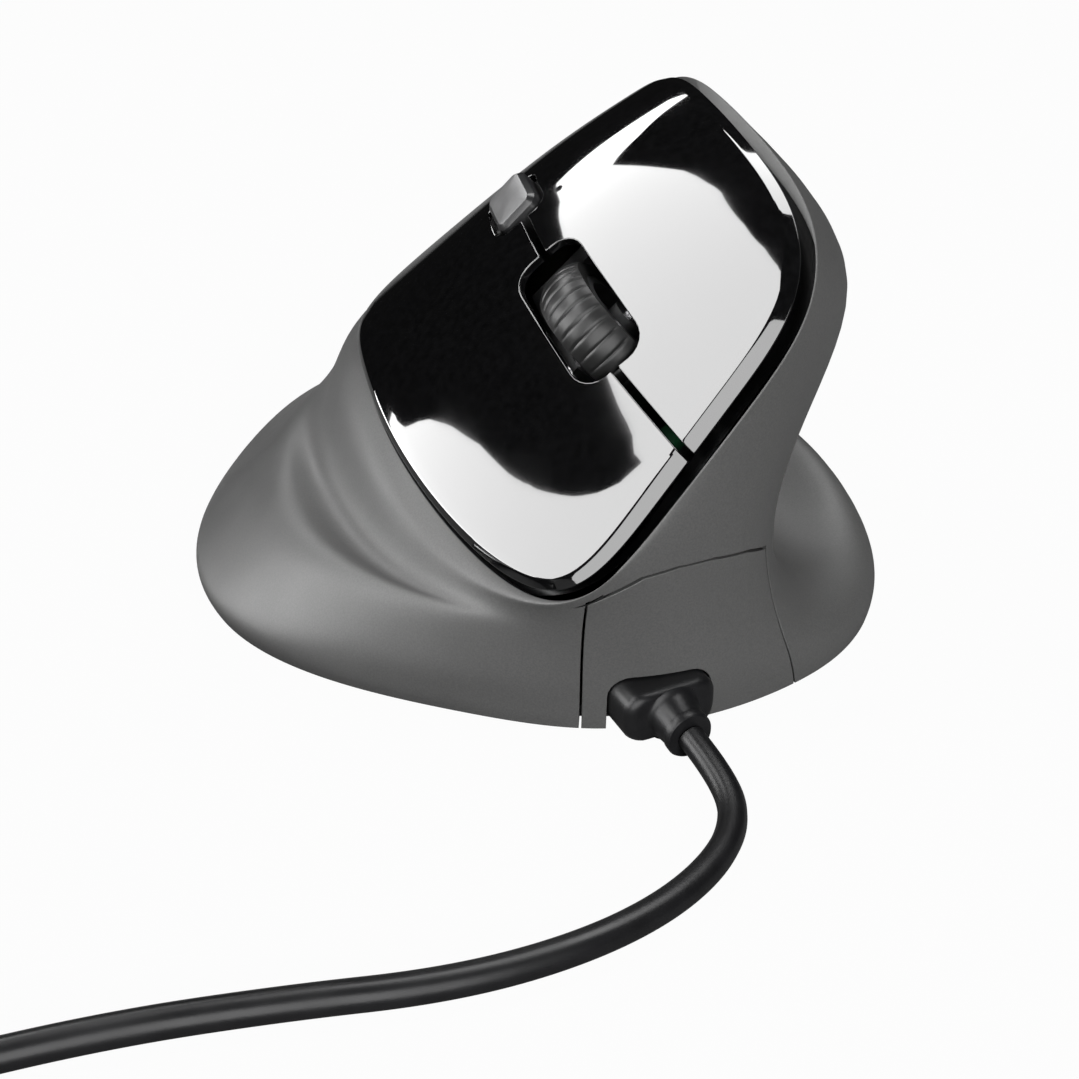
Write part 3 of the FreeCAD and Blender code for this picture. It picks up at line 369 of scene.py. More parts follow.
def crown(s, y):
    """Height of the crowned plate at points (s, y)."""
    across = open_weights(len(CROWN_S), places_of(s, CROWN_S))
    along = open_weights(len(CROWN_Y), places_of(y, CROWN_Y))
    return np.einsum("ij,jk,ik->i", along, CROWN_NET, across)


# Stations go round the mouse. Each has its place (s, y) on the plate's rim, the gap left round the
# buttons there, and the control points of the shell's profile from the foot up.
STATIONS = [
    ("front_corner", (8.5, -57.8), 1.0, [
        (-10.5, -56.2, 0.8), (-10.5, -56.2, 2), (-10.5, -56.2, 4), (-10.5, -56.2, 7),
        (-10.6, -56.2, 10), (-10.7, -56.3, 12.5), (-10.9, -56.4, 14.7), (-11.1, -56.6, 16.5),
        (-11.3, -56.9, 18), (-11.5, -57.2, 19.2), (-11.7, -57.5, 20)]),
    ("front_low", (23, -58.2), 1.2, [
        (4, -60, 0.8), (4, -60, 2), (4, -60, 4), (4, -60, 7), (3.7, -59.9, 10), (3.4, -59.8, 13),
        (2.8, -59.7, 17), (2.2, -59.6, 21), (1.3, -59.4, 25), (0.4, -59.1, 28.5), (-0.8, -58.7, 31)]),
    ("front_middle", (38, -58.3), 1.3, [
        (19, -59, 0.8), (19, -59, 2), (18.8, -59, 4), (18, -58.7, 6.5), (17, -58, 9.5), (16, -57.3, 14),
        (15.2, -57, 19), (14.5, -57, 25), (13.5, -57.5, 31), (12, -58, 36.5), (10, -58.3, 40.5)]),
    ("front_high", (51.5, -57.8), 1.3, [
        (32.5, -54.8, 0.8), (32.8, -54.9, 2), (32.5, -54.7, 3.6), (30.5, -53.8, 5.2), (26, -51.8, 7),
        (22, -50.3, 11), (20.2, -49.5, 17), (20.5, -49.5, 25), (22.5, -50.3, 33), (24.5, -52, 42),
        (23, -55, 50)]),
    ("thumb_front", (60.7, -50.2), 1.4, [
        (45.6, -43.2, 0.8), (46.2, -43, 2), (46.6, -42.9, 4), (45.6, -42.5, 6.6), (41, -41.8, 7.4),
        (33, -41.5, 5.6), (25.5, -42, 8.5), (22, -43, 18), (25, -44, 31), (31.5, -45, 43),
        (32.3, -47.3, 54)]),
    ("thumb_rest", (65.2, -38), 1.3, [
        (48.9, -26, 0.8), (49.5, -26, 2.5), (50, -26, 7), (49.4, -26, 12), (46.3, -26, 15.5),
        (39, -27, 9), (29, -28, 7.5), (23, -30, 17), (25, -31, 33), (31.5, -33, 47), (33.3, -35, 60)]),
    ("thumb_middle", (68.6, -24), 1.1, [
        (48.5, -3, 0.8), (49, -3, 2.5), (49.3, -3, 8), (48.7, -3, 14), (46, -3, 17.5), (39, -4, 11),
        (30, -5, 9), (23.5, -7, 18), (25, -9, 34), (31.5, -13, 49), (33, -18.5, 63.5)]),
    ("thumb_back", (71, -9), 0.9, [
        (46, 19, 0.8), (46.5, 19, 2.5), (47, 19, 8), (46, 19, 13), (43.5, 18, 16), (37, 17, 12),
        (30, 16, 11), (25, 14, 18), (26, 12, 31), (29, 8, 44), (30, 1, 58)]),
    ("heel_right", (66, 1), 0.8, [
        (36, 38, 0.8), (36.5, 38.6, 2.5), (36.8, 39, 6), (36.2, 38.3, 10), (34.5, 36.5, 12),
        (31.5, 33, 12.5), (29, 29.5, 15), (27.5, 25, 25), (28, 19, 38), (28.5, 13, 50), (28, 6, 60)]),
    ("heel_middle", (52, 5), 0.6, [
        (19, 53, 0.8), (19.3, 54, 2.5), (19.5, 54.3, 5), (19.2, 53.5, 7.5), (18.5, 51, 9.5),
        (17.5, 46.5, 12), (16.5, 41, 17), (16, 34, 26), (15, 27, 36), (14.5, 19, 46), (14, 12, 53)]),
    ("heel", (36, 9), 0.5, [
        (-1, 56, 0.8), (-1, 57, 2.5), (-1, 57.3, 5), (-1, 56.5, 7.5), (-1, 54, 9.5), (-1, 49, 11.5),
        (-1, 43, 15), (-1, 36, 21), (-1, 29, 28), (-1, 22, 35), (-1, 15.5, 42)]),
    ("heel_left", (21, 13), 0.5, [
        (-20, 47, 0.8), (-20.4, 48, 2.5), (-20.6, 48.3, 5), (-20, 47.3, 7.3), (-18.5, 44.5, 9),
        (-16.5, 40, 11.5), (-15, 35.5, 15), (-14, 30, 20), (-13, 25, 26), (-12.5, 20.5, 31),
        (-12, 16.5, 35)]),
    ("little_finger_back", (13.5, 9), 0.5, [
        (-34, 31, 0.8), (-34.8, 31.8, 2.2), (-34.8, 31.8, 4.2), (-32.2, 29, 7), (-28.8, 26, 10.5),
        (-26, 23.3, 14.5), (-24, 21.3, 17.7), (-22.5, 19.5, 19.5), (-21, 17, 22), (-20, 14.5, 26.5),
        (-19.2, 12, 30.8)]),
    ("little_finger_middle", (10.5, -3), 0.5, [
        (-46, 9, 0.8), (-46.7, 9.2, 2.2), (-46.7, 9.2, 4.2), (-44, 8.6, 7), (-39.5, 7.5, 11),
        (-34.5, 6.5, 15.5), (-31, 5.5, 18), (-28, 4.2, 17.3), (-25.8, 3, 19.5), (-24.3, 1, 24),
        (-22.8, -1, 28.7)]),
    ("little_finger", (6, -16), 0.5, [
        (-47.5, -13, 0.8), (-48.2, -13, 2.2), (-48.2, -13, 4.2), (-46, -13, 7), (-42, -13.3, 11.5),
        (-37.5, -13.7, 16), (-34, -14, 16.8), (-30.5, -14.5, 14.6), (-27.5, -15, 15.8),
        (-26, -15.5, 20), (-24.7, -15.8, 24.5)]),
    ("little_finger_front", (3, -34), 0.5, [
        (-38, -31, 0.8), (-38.5, -31.3, 2.2), (-38.5, -31.3, 4.2), (-37.5, -31.5, 7), (-35.3, -31, 11),
        (-32.8, -31, 15), (-30.5, -31.5, 16), (-28, -32, 14), (-25.8, -32.5, 15.5), (-24.5, -33, 18.5),
        (-23.3, -33.5, 21)]),
    ("front_left", (3, -50), 0.7, [
        (-23.2, -45.4, 0.8), (-23.4, -45.6, 2.2), (-23.4, -45.6, 4.2), (-23.3, -46, 7),
        (-22.6, -46, 10.5), (-21.7, -46.3, 13.5), (-20.8, -46.8, 15.4), (-19.8, -47.3, 16.6),
        (-19.2, -47.8, 17.4), (-18.8, -48.3, 18.1), (-18.5, -49, 18.7)]),
]
COUNT = len(STATIONS)
PLATE_MIDDLE = np.array([36.0, -24.0])
# How far the shell's rim lies below the plate's face, and below it round the front.
RIM_DROP = 0.8
FRONT_DROP = {"front_corner": 1.0, "front_low": 1.5, "front_middle": 1.6, "front_high": 1.3,
              "thumb_front": 1.1}


def control_net():
    rows = []
    for name, (s, y), _, profile in STATIONS:
        height = crown(np.array([s]), np.array([y])) - FRONT_DROP.get(name, RIM_DROP)
        rows.append([*profile, from_plate([s], [y], height)[0]])
    return np.array(rows, float)


NET = control_net()
LEVELS = NET.shape[1]
RIM = LEVELS - 1


def shell_points(around, up):
    """Points of the outer shell: around from 0 to COUNT, up from 0 at the foot to RIM at the rim."""
    return np.einsum("ij,jkc,ik->ic", ring_weights(COUNT, around), NET, open_weights(LEVELS, up))


def unit(vectors):
    return vectors / np.linalg.norm(vectors, axis=1, keepdims=True)


def shell_normals(around, up):
    step = 0.01
    lower, upper = np.clip(up - step, 0, RIM), np.clip(up + step, 0, RIM)
    sideways = shell_points(around + step, up) - shell_points(around - step, up)
    upwards = shell_points(around, upper) - shell_points(around, lower)
    return unit(np.cross(sideways, upwards))


# ---------------- outlines on a flat drawing
def closed_run(control, count):
    control = np.array(control, float)
    return ring_weights(len(control), np.linspace(0, len(control), count, endpoint=False)) @ control


def signed_area(outline):
    after = np.roll(outline, -1, axis=0)
    return float((outline[:, 0] * after[:, 1] - after[:, 0] * outline[:, 1]).sum() / 2)


def stepped(outline, step, closed=True):
    """More points along an outline, at most step apart."""
    outline = np.asarray(outline, float)
    after = np.roll(outline, -1, axis=0) if closed else outline[1:]
    points = []
    for a, b in zip(outline, after):
        pieces = max(1, int(math.ceil(np.linalg.norm(b - a) / step)))
        points += [a + (b - a) * k / pieces for k in range(pieces)]
    if not closed:
        points.append(outline[-1])
    return np.array(points)


def distance_to(points, outline):
    """Shortest distance from each point to a closed outline, and the start of its nearest side."""
    after = np.roll(outline, -1, axis=0)
    best = np.full(len(points), 1e9)
    nearest = np.zeros(len(points), int)
    for k, (a, b) in enumerate(zip(outline, after)):
        run = b - a
        length = max(run @ run, 1e-12)
        share = np.clip((points - a) @ run / length, 0, 1)
        far = np.linalg.norm(points - a - share[:, None] * run, axis=1)
        closer = far < best
        best[closer] = far[closer]
        nearest[closer] = k
    return best, nearest


def rounded_box(length, width, corner, steps=6):
    """A rectangle's outline with round corners, about its middle."""
    points = []
    for k, (sx, sy) in enumerate([(1, 1), (-1, 1), (-1, -1), (1, -1)]):
        for j in range(steps + 1):
            angle = math.pi / 2 * (k + j / steps)
            points.append((sx * (length / 2 - corner) + corner * math.cos(angle),
                           sy * (width / 2 - corner) + corner * math.sin(angle)))
    return np.array(points)


MERGE = 1e-5


def triangles(points, outlines, holes, close):
    """A net of triangles over the points, inside every outline and outside the holes.

    Points nearer than close to an outline or a hole are left out.
    """
    every = [*outlines, *holes]
    for outline in every:
        points = points[distance_to(points, outline)[0] > close]
    flat = [Vector(p) for p in points]
    rings = []
    for outline in every:
        ring = outline if signed_area(outline) > 0 else outline[::-1]
        rings.append(list(range(len(flat), len(flat) + len(ring))))
        flat += [Vector(p) for p in ring]
    found, _, faces, _, _, owners = delaunay_2d_cdt(flat, [], rings, 0, MERGE)
    wanted = set(range(len(outlines)))
    kept = [face for face, owner in zip(faces, owners) if set(owner) == wanted]
    used = sorted({k for face in kept for k in face})
    place = {k: n for n, k in enumerate(used)}
    return np.array([found[k] for k in used]), [[place[k] for k in face] for face in kept]


# ---------------- meshes
def new_piece(name, points, faces, normals, body, slot, materials=None, face_materials=None, nodes=()):
    """A smooth mesh piece from millimetres, riding on its body and standing for its CAD nodes."""
    mesh = bpy.data.meshes.new(name)
    mesh.from_pydata(metres(points).tolist(), [], faces)
    for material in materials or [slot]:
        mesh.materials.append(MATERIALS[material])
    mesh.polygons.foreach_set("use_smooth", [True] * len(mesh.polygons))
    if face_materials is not None:
        mesh.polygons.foreach_set("material_index", face_materials)
    if normals is not None:
        mesh.normals_split_custom_set_from_vertices(np.asarray(normals, float).tolist())
    mesh.update()
    piece = new_object(name, mesh)
    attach(piece, body)
    if nodes:
        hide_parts(*nodes)
    return piece


EDGE_TURNS = (30, 60, 90)
SIDE_SHARE = 0.9


def edge_arc(point, normal, outward, radius):
    made = []
    for turn in EDGE_TURNS:
        c, s = math.cos(math.radians(turn)), math.sin(math.radians(turn))
        made.append((point + radius * (s * outward - (1 - c) * normal), c * normal + s * outward))
    return made


def rounded_edge(radius, depth):
    """Rows that round a sheet's edge over and run down its side."""
    def rows(point, normal, outward, index):
        made = edge_arc(point, normal, outward, radius)
        foot = point + radius * (outward - normal)
        side = (depth[index] - radius)[:, None]
        made.append((foot - side * SIDE_SHARE * normal, outward))
        made.append((foot - side * normal, (outward - normal) * 0.7))
        return made
    return rows


def edge_loop(faces):
    edges = {(a, b) for face in faces for a, b in zip(face, face[1:] + face[:1])}
    return [(a, b) for a, b in edges if (b, a) not in edges]


TINY = 1e-9
# How far a corner of an edge may reach, against its straight parts.
CORNER_REACH = 1.35


def thick_sheet(faces, points, normals, depth, edge_rows):
    """Closes a curved sheet: its edge is rounded over, and its back lies depth under its face."""
    edges = edge_loop(faces)
    outward = np.zeros_like(points)
    for a, b in edges:
        side = np.cross(points[b] - points[a], normals[a] + normals[b])
        side /= max(np.linalg.norm(side), TINY)
        outward[a] += side
        outward[b] += side
    rim = np.array(sorted({a for edge in edges for a in edge}))
    out = outward[rim]
    length = np.linalg.norm(out, axis=1, keepdims=True)
    length = np.maximum(length, TINY)
    out = out / length * np.clip(2 / length, 1, CORNER_REACH)
    rows = edge_rows(points[rim], normals[rim], out, rim)
    slot_of = {k: n for n, k in enumerate(rim)}
    all_points, all_normals, all_faces = [points], [normals], list(faces)
    start = [None] + [len(points) + k * len(rim) for k in range(len(rows))]

    def at(row, k):
        return k if row == 0 else start[row] + slot_of[k]

    for row, (place, normal) in enumerate(rows, start=1):
        all_points.append(place)
        all_normals.append(normal)
        all_faces += [[at(row - 1, b), at(row - 1, a), at(row, a), at(row, b)] for a, b in edges]
    under = len(points) + len(rows) * len(rim)
    all_points.append(points - depth[:, None] * normals)
    all_normals.append(-normals)
    on_rim = set(rim.tolist())
    back_of = [at(len(rows), k) if k in on_rim else under + k for k in range(len(points))]
    all_faces += [[back_of[k] for k in face[::-1]] for face in faces]
    return drop_unused(np.concatenate(all_points), all_faces, np.concatenate(all_normals))


def drop_unused(points, faces, normals):
    used = np.unique([k for face in faces for k in face])
    place = np.full(len(points), -1)
    place[used] = np.arange(len(used))
    return points[used], [[int(place[k]) for k in face] for face in faces], normals[used]


def bands(rings, count, places):
    """Faces from each ring to the next."""
    faces = []
    for row in range(places):
        low, high = row * count, (row + 1) % rings * count
        for k in range(count):
            after = (k + 1) % count
            faces.append([low + k, low + after, high + after, high + k])
    return faces


def stack(rings):
    """A skin over rings of equal count, closed at the first and at the last."""
    count = len(rings[0])
    faces = bands(len(rings), count, len(rings) - 1)
    faces.append(list(range(count))[::-1])
    faces.append([(len(rings) - 1) * count + k for k in range(count)])
    return np.concatenate(rings), faces


def closed_stack(rings):
    return np.concatenate(rings), bands(len(rings), len(rings[0]), len(rings))


# ---------------- finding places on the shell
# Millimetres to a station and to a level, so that triangles on the flat drawing come out even.
SPREAD = np.array([21.0, 6.8])
OUTLINE_STEP = 0.7
SEARCH_ROUNDS = 15


def locate(targets, axes, around_range, up_range):
    """Where on the shell two of a point's coordinates take these values."""
    targets = np.asarray(targets, float)
    grid = np.meshgrid(np.linspace(*around_range, 70), np.linspace(*up_range, 40))
    around, up = grid[0].ravel(), grid[1].ravel()
    seen = shell_points(around, up)[:, axes]
    nearest = np.argmin(((targets[:, None] - seen[None]) ** 2).sum(-1), axis=1)
    around, up = around[nearest], up[nearest]
    step = 0.001
    for _ in range(SEARCH_ROUNDS):
        here = shell_points(around, up)[:, axes]
        a = (shell_points(around + step, up)[:, axes] - here) / step
        b = (shell_points(around, up + step)[:, axes] - here) / step
        miss = targets - here
        area = a[:, 0] * b[:, 1] - a[:, 1] * b[:, 0]
        area = np.where(np.abs(area) < 1e-6, 1e-6, area)
        around = around + np.clip((miss[:, 0] * b[:, 1] - miss[:, 1] * b[:, 0]) / area, -0.3, 0.3)
        up = up + np.clip((a[:, 0] * miss[:, 1] - a[:, 1] * miss[:, 0]) / area, -0.5, 0.5)
        up = np.clip(up, -0.3, LEVELS - 0.9)
    return np.stack([around, up], -1)


PANEL_OUTLINE = [(19.8, 0.8), (18.0, 8), (16.5, 15), (15.1, 21.4), (11.1, 22.9), (5.2, 23.9), (0.3, 24.0),
                 (-4.2, 23.4), (-8.3, 21.4), (-10.6, 20.2), (-10.6, 0.8)]
PANEL_MIDDLE = (4.0, 8.0)
PANEL_SEAM = 0.24
PANEL_EDGE = 0.12
FRONT = (-1.2, 3.8)
# Levels below the foot to which an outline runs, and below the rim at which it stops.
FOOT_RUN = -0.8
RIM_SPARE = 0.3


def front_outline(points):
    """An outline (x, z) on the front, carried onto the shell and, at both ends, down below its foot."""
    run = locate(stepped(points, OUTLINE_STEP, closed=False), [0, 2], FRONT, (0, RIM))
    run[:, 1] = np.minimum(run[:, 1], RIM - RIM_SPARE)
    ends = run[[0, -1]]
    ends[:, 1] = FOOT_RUN
    return np.concatenate([ends[:1], run, ends[1:]]) * SPREAD


def panel_outline(grow):
    """The front panel's outline, wider by grow at its sides and its top."""
    points = []
    for x, z in PANEL_OUTLINE:
        wide = grow if x > PANEL_MIDDLE[0] else -grow
        high = grow if z > PANEL_MIDDLE[1] else 0
        points.append((x + wide, z + high))
    return front_outline(points)


NOTCH_X = -0.9
NOTCH_WIDTH = 13.4
NOTCH_HEIGHT = 8.5
NOTCH_CORNER = 3.0
NOTCH_FOOT = 0.8


def notch_outline(grow):
    half = NOTCH_WIDTH / 2 + grow
    top = NOTCH_HEIGHT + grow
    points = [(NOTCH_X + half, NOTCH_FOOT)]
    for side, start in ((1, 0), (-1, 90)):
        for turn in range(0, 91, 15):
            angle = math.radians(start + turn)
            points.append((NOTCH_X + side * (half - NOTCH_CORNER) + NOTCH_CORNER * math.cos(angle),
                           top - NOTCH_CORNER + NOTCH_CORNER * math.sin(angle)))
    points.append((NOTCH_X - half, NOTCH_FOOT))
    return front_outline(points)


# Front end, rear end and height of each thumb button.
THUMB_KEYS = {"forward": (-28.0, -12.0, 50.5), "back": (-10.5, 6.0, 49.0)}
THUMB_HEIGHT = 7.4
THUMB_ROUND = 3.2
THUMB_PROUD = 0.9
THUMB_GAP = 0.35
THUMB_EDGE = 0.9
THUMB_THICKNESS = 2.6
THUMB_RANGE = ((3.6, 8.6), (6.5, RIM))


def thumb_outline(key, grow):
    y_from, y_to, z = THUMB_KEYS[key]
    box = rounded_box(y_to - y_from + 2 * grow, THUMB_HEIGHT + 2 * grow, THUMB_ROUND + grow)
    box = stepped(box, OUTLINE_STEP) + np.array([(y_from + y_to) / 2, z])
    return locate(box, [1, 2], *THUMB_RANGE) * SPREAD


def grid_points(low, high, step):
    """Points of a staggered grid over a rectangle."""
    rows = []
    for n, y in enumerate(np.arange(low[1] + step * 0.4, high[1], step * 0.87)):
        x = np.arange(low[0] + step * (0.4 + 0.5 * (n % 2)), high[0], step)
        rows.append(np.stack([x, np.full_like(x, y)], -1))
    return np.concatenate(rows)


def on_shell(flat):
    around, up = (flat / SPREAD).T
    return shell_points(around, up), shell_normals(around, up)


# ---------------- palm shell
# The station, at the heel, where the flat drawing is cut open.
SEAM_AROUND = 10.0
# Thickness of the shell, and of its rim; levels over which it thins.
SHELL_DEPTH = 1.9
RIM_DEPTH = 1.1
THINNING = 1.5
RIM_EDGE = 0.2
RECESS_DEPTH = 3.4
LEANING = ["front_low", "front_middle", "front_high", "thumb_front", "thumb_rest", "thumb_middle",
           "thumb_back", "heel_right"]
LEAN, UPRIGHT = 0.5, 0.05
PALM_STEP = 1.7


def lean_at(around):
    """How far the recess wall leans in under the buttons, for each millimetre down."""
    leans = [LEAN if name in LEANING else UPRIGHT for name, *_ in STATIONS]
    return ring_weights(COUNT, around) @ np.array(leans)


def towards_middle(points):
    """Directions across the plate from points to its middle."""
    reach_s = PLATE_MIDDLE[0] - points @ ACROSS
    reach_y = PLATE_MIDDLE[1] - points @ ALONG
    return unit(np.outer(reach_s, ACROSS) + np.outer(reach_y, ALONG))


def palm_edges(depth, around, up):
    """Rows for the palm shell's edges: at its rim they run on down as the recess wall."""
    def rows(point, normal, outward, index):
        top = (up[index] > RIM - 0.001)[:, None]
        radius = np.where(top, RIM_EDGE, PANEL_EDGE)
        made = edge_arc(point, normal, outward, radius)
        foot = point + radius * (outward - normal)
        fall = np.where(top, lean_at(around[index])[:, None] * towards_middle(point) - OUT, -normal)
        deep = np.where(top, RECESS_DEPTH, depth[index][:, None] - radius)
        made.append((foot + SIDE_SHARE * deep * fall, outward))
        made.append((foot + deep * fall, outward - normal))
        return made
    return rows


def box_outline(low, high, step):
    corners = [low, (high[0], low[1]), high, (low[0], high[1])]
    return stepped(np.array(corners, float), step)


def palm_shell():
    low = np.array([SEAM_AROUND - COUNT, 0]) * SPREAD
    high = np.array([SEAM_AROUND, RIM]) * SPREAD
    holes = [panel_outline(PANEL_SEAM / 2 + PANEL_EDGE)]
    holes += [thumb_outline(key, THUMB_GAP + PANEL_EDGE) for key in THUMB_KEYS]
    flat, faces = triangles(grid_points(low, high, PALM_STEP), [box_outline(low, high, 1.1)], holes, 0.5)
    # The two sides of the cut are joined.
    left = {round(y, 3): k for k, (x, y) in enumerate(flat) if x < low[0] + 0.001}
    same = {k: left[round(y, 3)] for k, (x, y) in enumerate(flat)
            if x > high[0] - 0.001 and round(y, 3) in left}
    faces = [[same.get(k, k) for k in face] for face in faces]
    points, normals = on_shell(flat)
    around, up = (flat / SPREAD).T
    depth = RIM_DEPTH + (SHELL_DEPTH - RIM_DEPTH) * np.clip((RIM - up) / THINNING, 0, 1)
    edges = palm_edges(depth, around, up)
    points, faces, normals = thick_sheet(faces, points, normals, depth, edges)
    new_piece("palm_shell", points, faces, normals, "casing", "soft_touch", nodes=["upper_shell"])


TRAY_COUNT = 340
TRAY_GAP = 0.1
TRAY_WIDTH = 5
# How far the ledge stands above the recess wall's foot and reaches below it.
TRAY_RISE, TRAY_SINK = 0.3, 0.2


def recess_tray():
    """The ledge under the gap round the buttons, in a darker black than its plastic: painted shade in the
    recess.
    """
    count = TRAY_COUNT
    around = np.linspace(0, COUNT, count, endpoint=False)
    rim = shell_points(around, np.full(count, float(RIM)))
    inward = towards_middle(rim)
    outer = TRAY_GAP + RECESS_DEPTH * lean_at(around)[:, None]
    top, under = RECESS_DEPTH - TRAY_RISE, RECESS_DEPTH + TRAY_SINK
    corners = ((0, top), (TRAY_WIDTH / 2, top), (TRAY_WIDTH, top), (TRAY_WIDTH, under), (0, under))
    rings = [rim + (outer + reach) * inward - drop * OUT for reach, drop in corners]
    points, faces = closed_stack(rings)
    new_piece("recess_tray", points, faces, None, "casing", "black_plastic", materials=["recess_painted_shade"],
              nodes=["upper_shell"])


def shell_sheet(name, flat, faces, edge, thickness, body, slot, node, proud=0.0):
    """A piece of even thickness cut from the shell, standing proud of it sideways."""
    points, normals = on_shell(flat)
    points = points + np.array([proud, 0, 0])
    depth = np.full(len(points), thickness)
    points, faces, normals = thick_sheet(faces, points, normals, depth, rounded_edge(edge, depth))
    new_piece(name, points, faces, normals, body, slot, nodes=[node])


PANEL_STEP = 0.9
PANEL_SPARE = 3


def front_cover():
    outline = panel_outline(-PANEL_SEAM / 2 - PANEL_EDGE)
    low, high = outline.min(axis=0), outline.max(axis=0)
    above_foot = box_outline((low[0] - PANEL_SPARE, 0), high + PANEL_SPARE, 0.8)
    flat, faces = triangles(grid_points(low, high, PANEL_STEP), [above_foot, outline],
                            [notch_outline(PANEL_EDGE)], 0.35)
    shell_sheet("front_cover", flat, faces, PANEL_EDGE, SHELL_DEPTH, "casing", "soft_touch", "front_panel")


def thumb_key(key):
    outline = thumb_outline(key, -THUMB_EDGE)
    low, high = outline.min(axis=0), outline.max(axis=0)
    flat, faces = triangles(grid_points(low, high, OUTLINE_STEP), [outline], [], 0.3)
    shell_sheet(key + "_key_cap", flat, faces, THUMB_EDGE, THUMB_THICKNESS, key + "_key", "thumb_keys",
                key + "_button", THUMB_PROUD)


palm_shell()
recess_tray()
front_cover()
for thumb in THUMB_KEYS:
    thumb_key(thumb)

# ---------------- the two main buttons
# The line (s, y) between the two buttons, from the front back.
DIVIDER = [(29.2, -64.0), (29.4, -57.5), (32.6, -42.0), (38.2, -24.0), (40.8, -16.0),
           (42.2, -9.8), (45.0, 2.0), (49.0, 20.0)]
SPLIT_SEAM = 1.0
SLANT = math.radians(-15.6)
WHEEL_PLACE = np.array([35.5, -33.0])
# Width, length and corner radius of the wheel's slot.
WHEEL_SLOT = (10.0, 21.2, 3.4)
DPI_PLACE = np.array([42.0, -9.8])
DPI_SIZE = (7.0, 8.6)
DPI_GAP = 0.7
DPI_NOTCH_CORNER = 2.2
KEY_EDGE = 0.18
KEY_THICKNESS = 1.2
KEY_SPARE = 0.12
KEY_STEP = 0.9
RING_COUNT = 640
# Width and depth of the bevel on the buttons' edge, and how gently it turns out of the face, on
# each side of the plate and at the two stations that differ from their side.
BEVELS = {"front": (1.5, 0.85, 0.06), "thumb": (1.4, 0.75, 0.06), "heel": (0.8, 0.45, 0.5),
          "little": (0.9, 0.5, 0.5)}
STATION_BEVELS = {"front_corner": (1.2, 0.7, 0.2), "heel_right": (1.0, 0.55, 0.3)}
# Rows of points follow the bevel at these shares of its width.
BEVEL_ROWS = (0.3, 0.55, 0.75, 0.9, 1.0, 1.1, 1.3, 1.6)
BEVEL_ZONE = 2.6


def turned(outline, place):
    """An outline turned with the wheel's slant and set at its place on the plate."""
    c, s = math.cos(SLANT), math.sin(SLANT)
    return np.asarray(outline) @ np.array([[c, s], [-s, c]]) + place


def button_ring(inset):
    """The buttons' common outline, the bevel at each of its points, and the way inward."""
    ring, bevels = [], []
    for name, place, gap, _ in STATIONS:
        place = np.array(place, float)
        reach = PLATE_MIDDLE - place
        ring.append(place + reach / np.linalg.norm(reach) * gap)
        bevels.append(STATION_BEVELS.get(name, BEVELS[name.split("_")[0]]))
    outline = closed_run(ring, RING_COUNT)
    bevel = closed_run(bevels, RING_COUNT)
    ahead = unit(np.roll(outline, -1, axis=0) - np.roll(outline, 1, axis=0))
    inward = np.stack([-ahead[:, 1], ahead[:, 0]], -1) * math.copysign(1, signed_area(outline))
    return outline + inward * inset, bevel, inward


def seam_strip(half):
    line = stepped(DIVIDER, 0.6, closed=False)
    ahead = unit(np.gradient(line, axis=0))
    side = np.stack([-ahead[:, 1], ahead[:, 0]], -1) * half
    return np.concatenate([line - side, (line + side)[::-1]])


TRUE_RING, BEVEL, INWARD = button_ring(0)


def key_height(flat):
    """Height of the buttons' face, falling away along their bevelled edge."""
    far, nearest = distance_to(flat, TRUE_RING)
    width, depth, soft = BEVEL[nearest].T
    x = 1 - far / width
    return crown(flat[:, 0], flat[:, 1]) - depth * 0.5 * (x + np.sqrt(x * x + soft ** 2))


def plate_surface(flat, height):
    step = 0.03
    ds, dy = np.array([step, 0]), np.array([0, step])
    slope_s = (height(flat + ds) - height(flat - ds)) / (2 * step)
    slope_y = (height(flat + dy) - height(flat - dy)) / (2 * step)
    normals = unit(OUT - slope_s[:, None] * ACROSS - slope_y[:, None] * ALONG)
    return from_plate(flat[:, 0], flat[:, 1], height(flat)), normals


def opening(width, length, corner, place):
    box = rounded_box(width + 2 * KEY_EDGE, length + 2 * KEY_EDGE, corner)
    return turned(stepped(box, 0.5), place)


def main_buttons():
    outline, _, _ = button_ring(KEY_EDGE + KEY_SPARE)
    slot = opening(*WHEEL_SLOT, WHEEL_PLACE)
    notch = opening(DPI_SIZE[0] + 2 * DPI_GAP, DPI_SIZE[1] + 2 * DPI_GAP, DPI_NOTCH_CORNER, DPI_PLACE)
    grid = grid_points(outline.min(axis=0), outline.max(axis=0), KEY_STEP)
    rows = [(TRUE_RING + INWARD * (BEVEL[:, :1] * share))[::2] for share in BEVEL_ROWS]
    near = np.concatenate([grid[distance_to(grid, TRUE_RING)[0] > BEVEL_ZONE], *rows])
    strip = seam_strip(SPLIT_SEAM / 2 + KEY_EDGE)
    flat, faces = triangles(near, [outline], [strip, slot, notch], 0.3)
    surface, normals = plate_surface(flat, key_height)
    middle = np.interp(flat[:, 1], [p[1] for p in DIVIDER], [p[0] for p in DIVIDER])
    high = flat[:, 0] > middle
    for side, wanted in (("left", True), ("right", False)):
        mine = [face for face in faces if sum(bool(high[k]) == wanted for k in face) == 3]
        depth = np.full(len(flat), KEY_THICKNESS)
        points, skin, shading = thick_sheet(mine, surface, normals, depth, rounded_edge(KEY_EDGE, depth))
        new_piece(side + "_key_plate", points, skin, shading, side + "_key", "gloss_black",
                  nodes=[side + "_button"])


main_buttons()

# ---------------- the button behind the wheel
DPI_PROUD = 1.2
DPI_CORNER = 1.6
DPI_LEAST_CORNER = 0.35
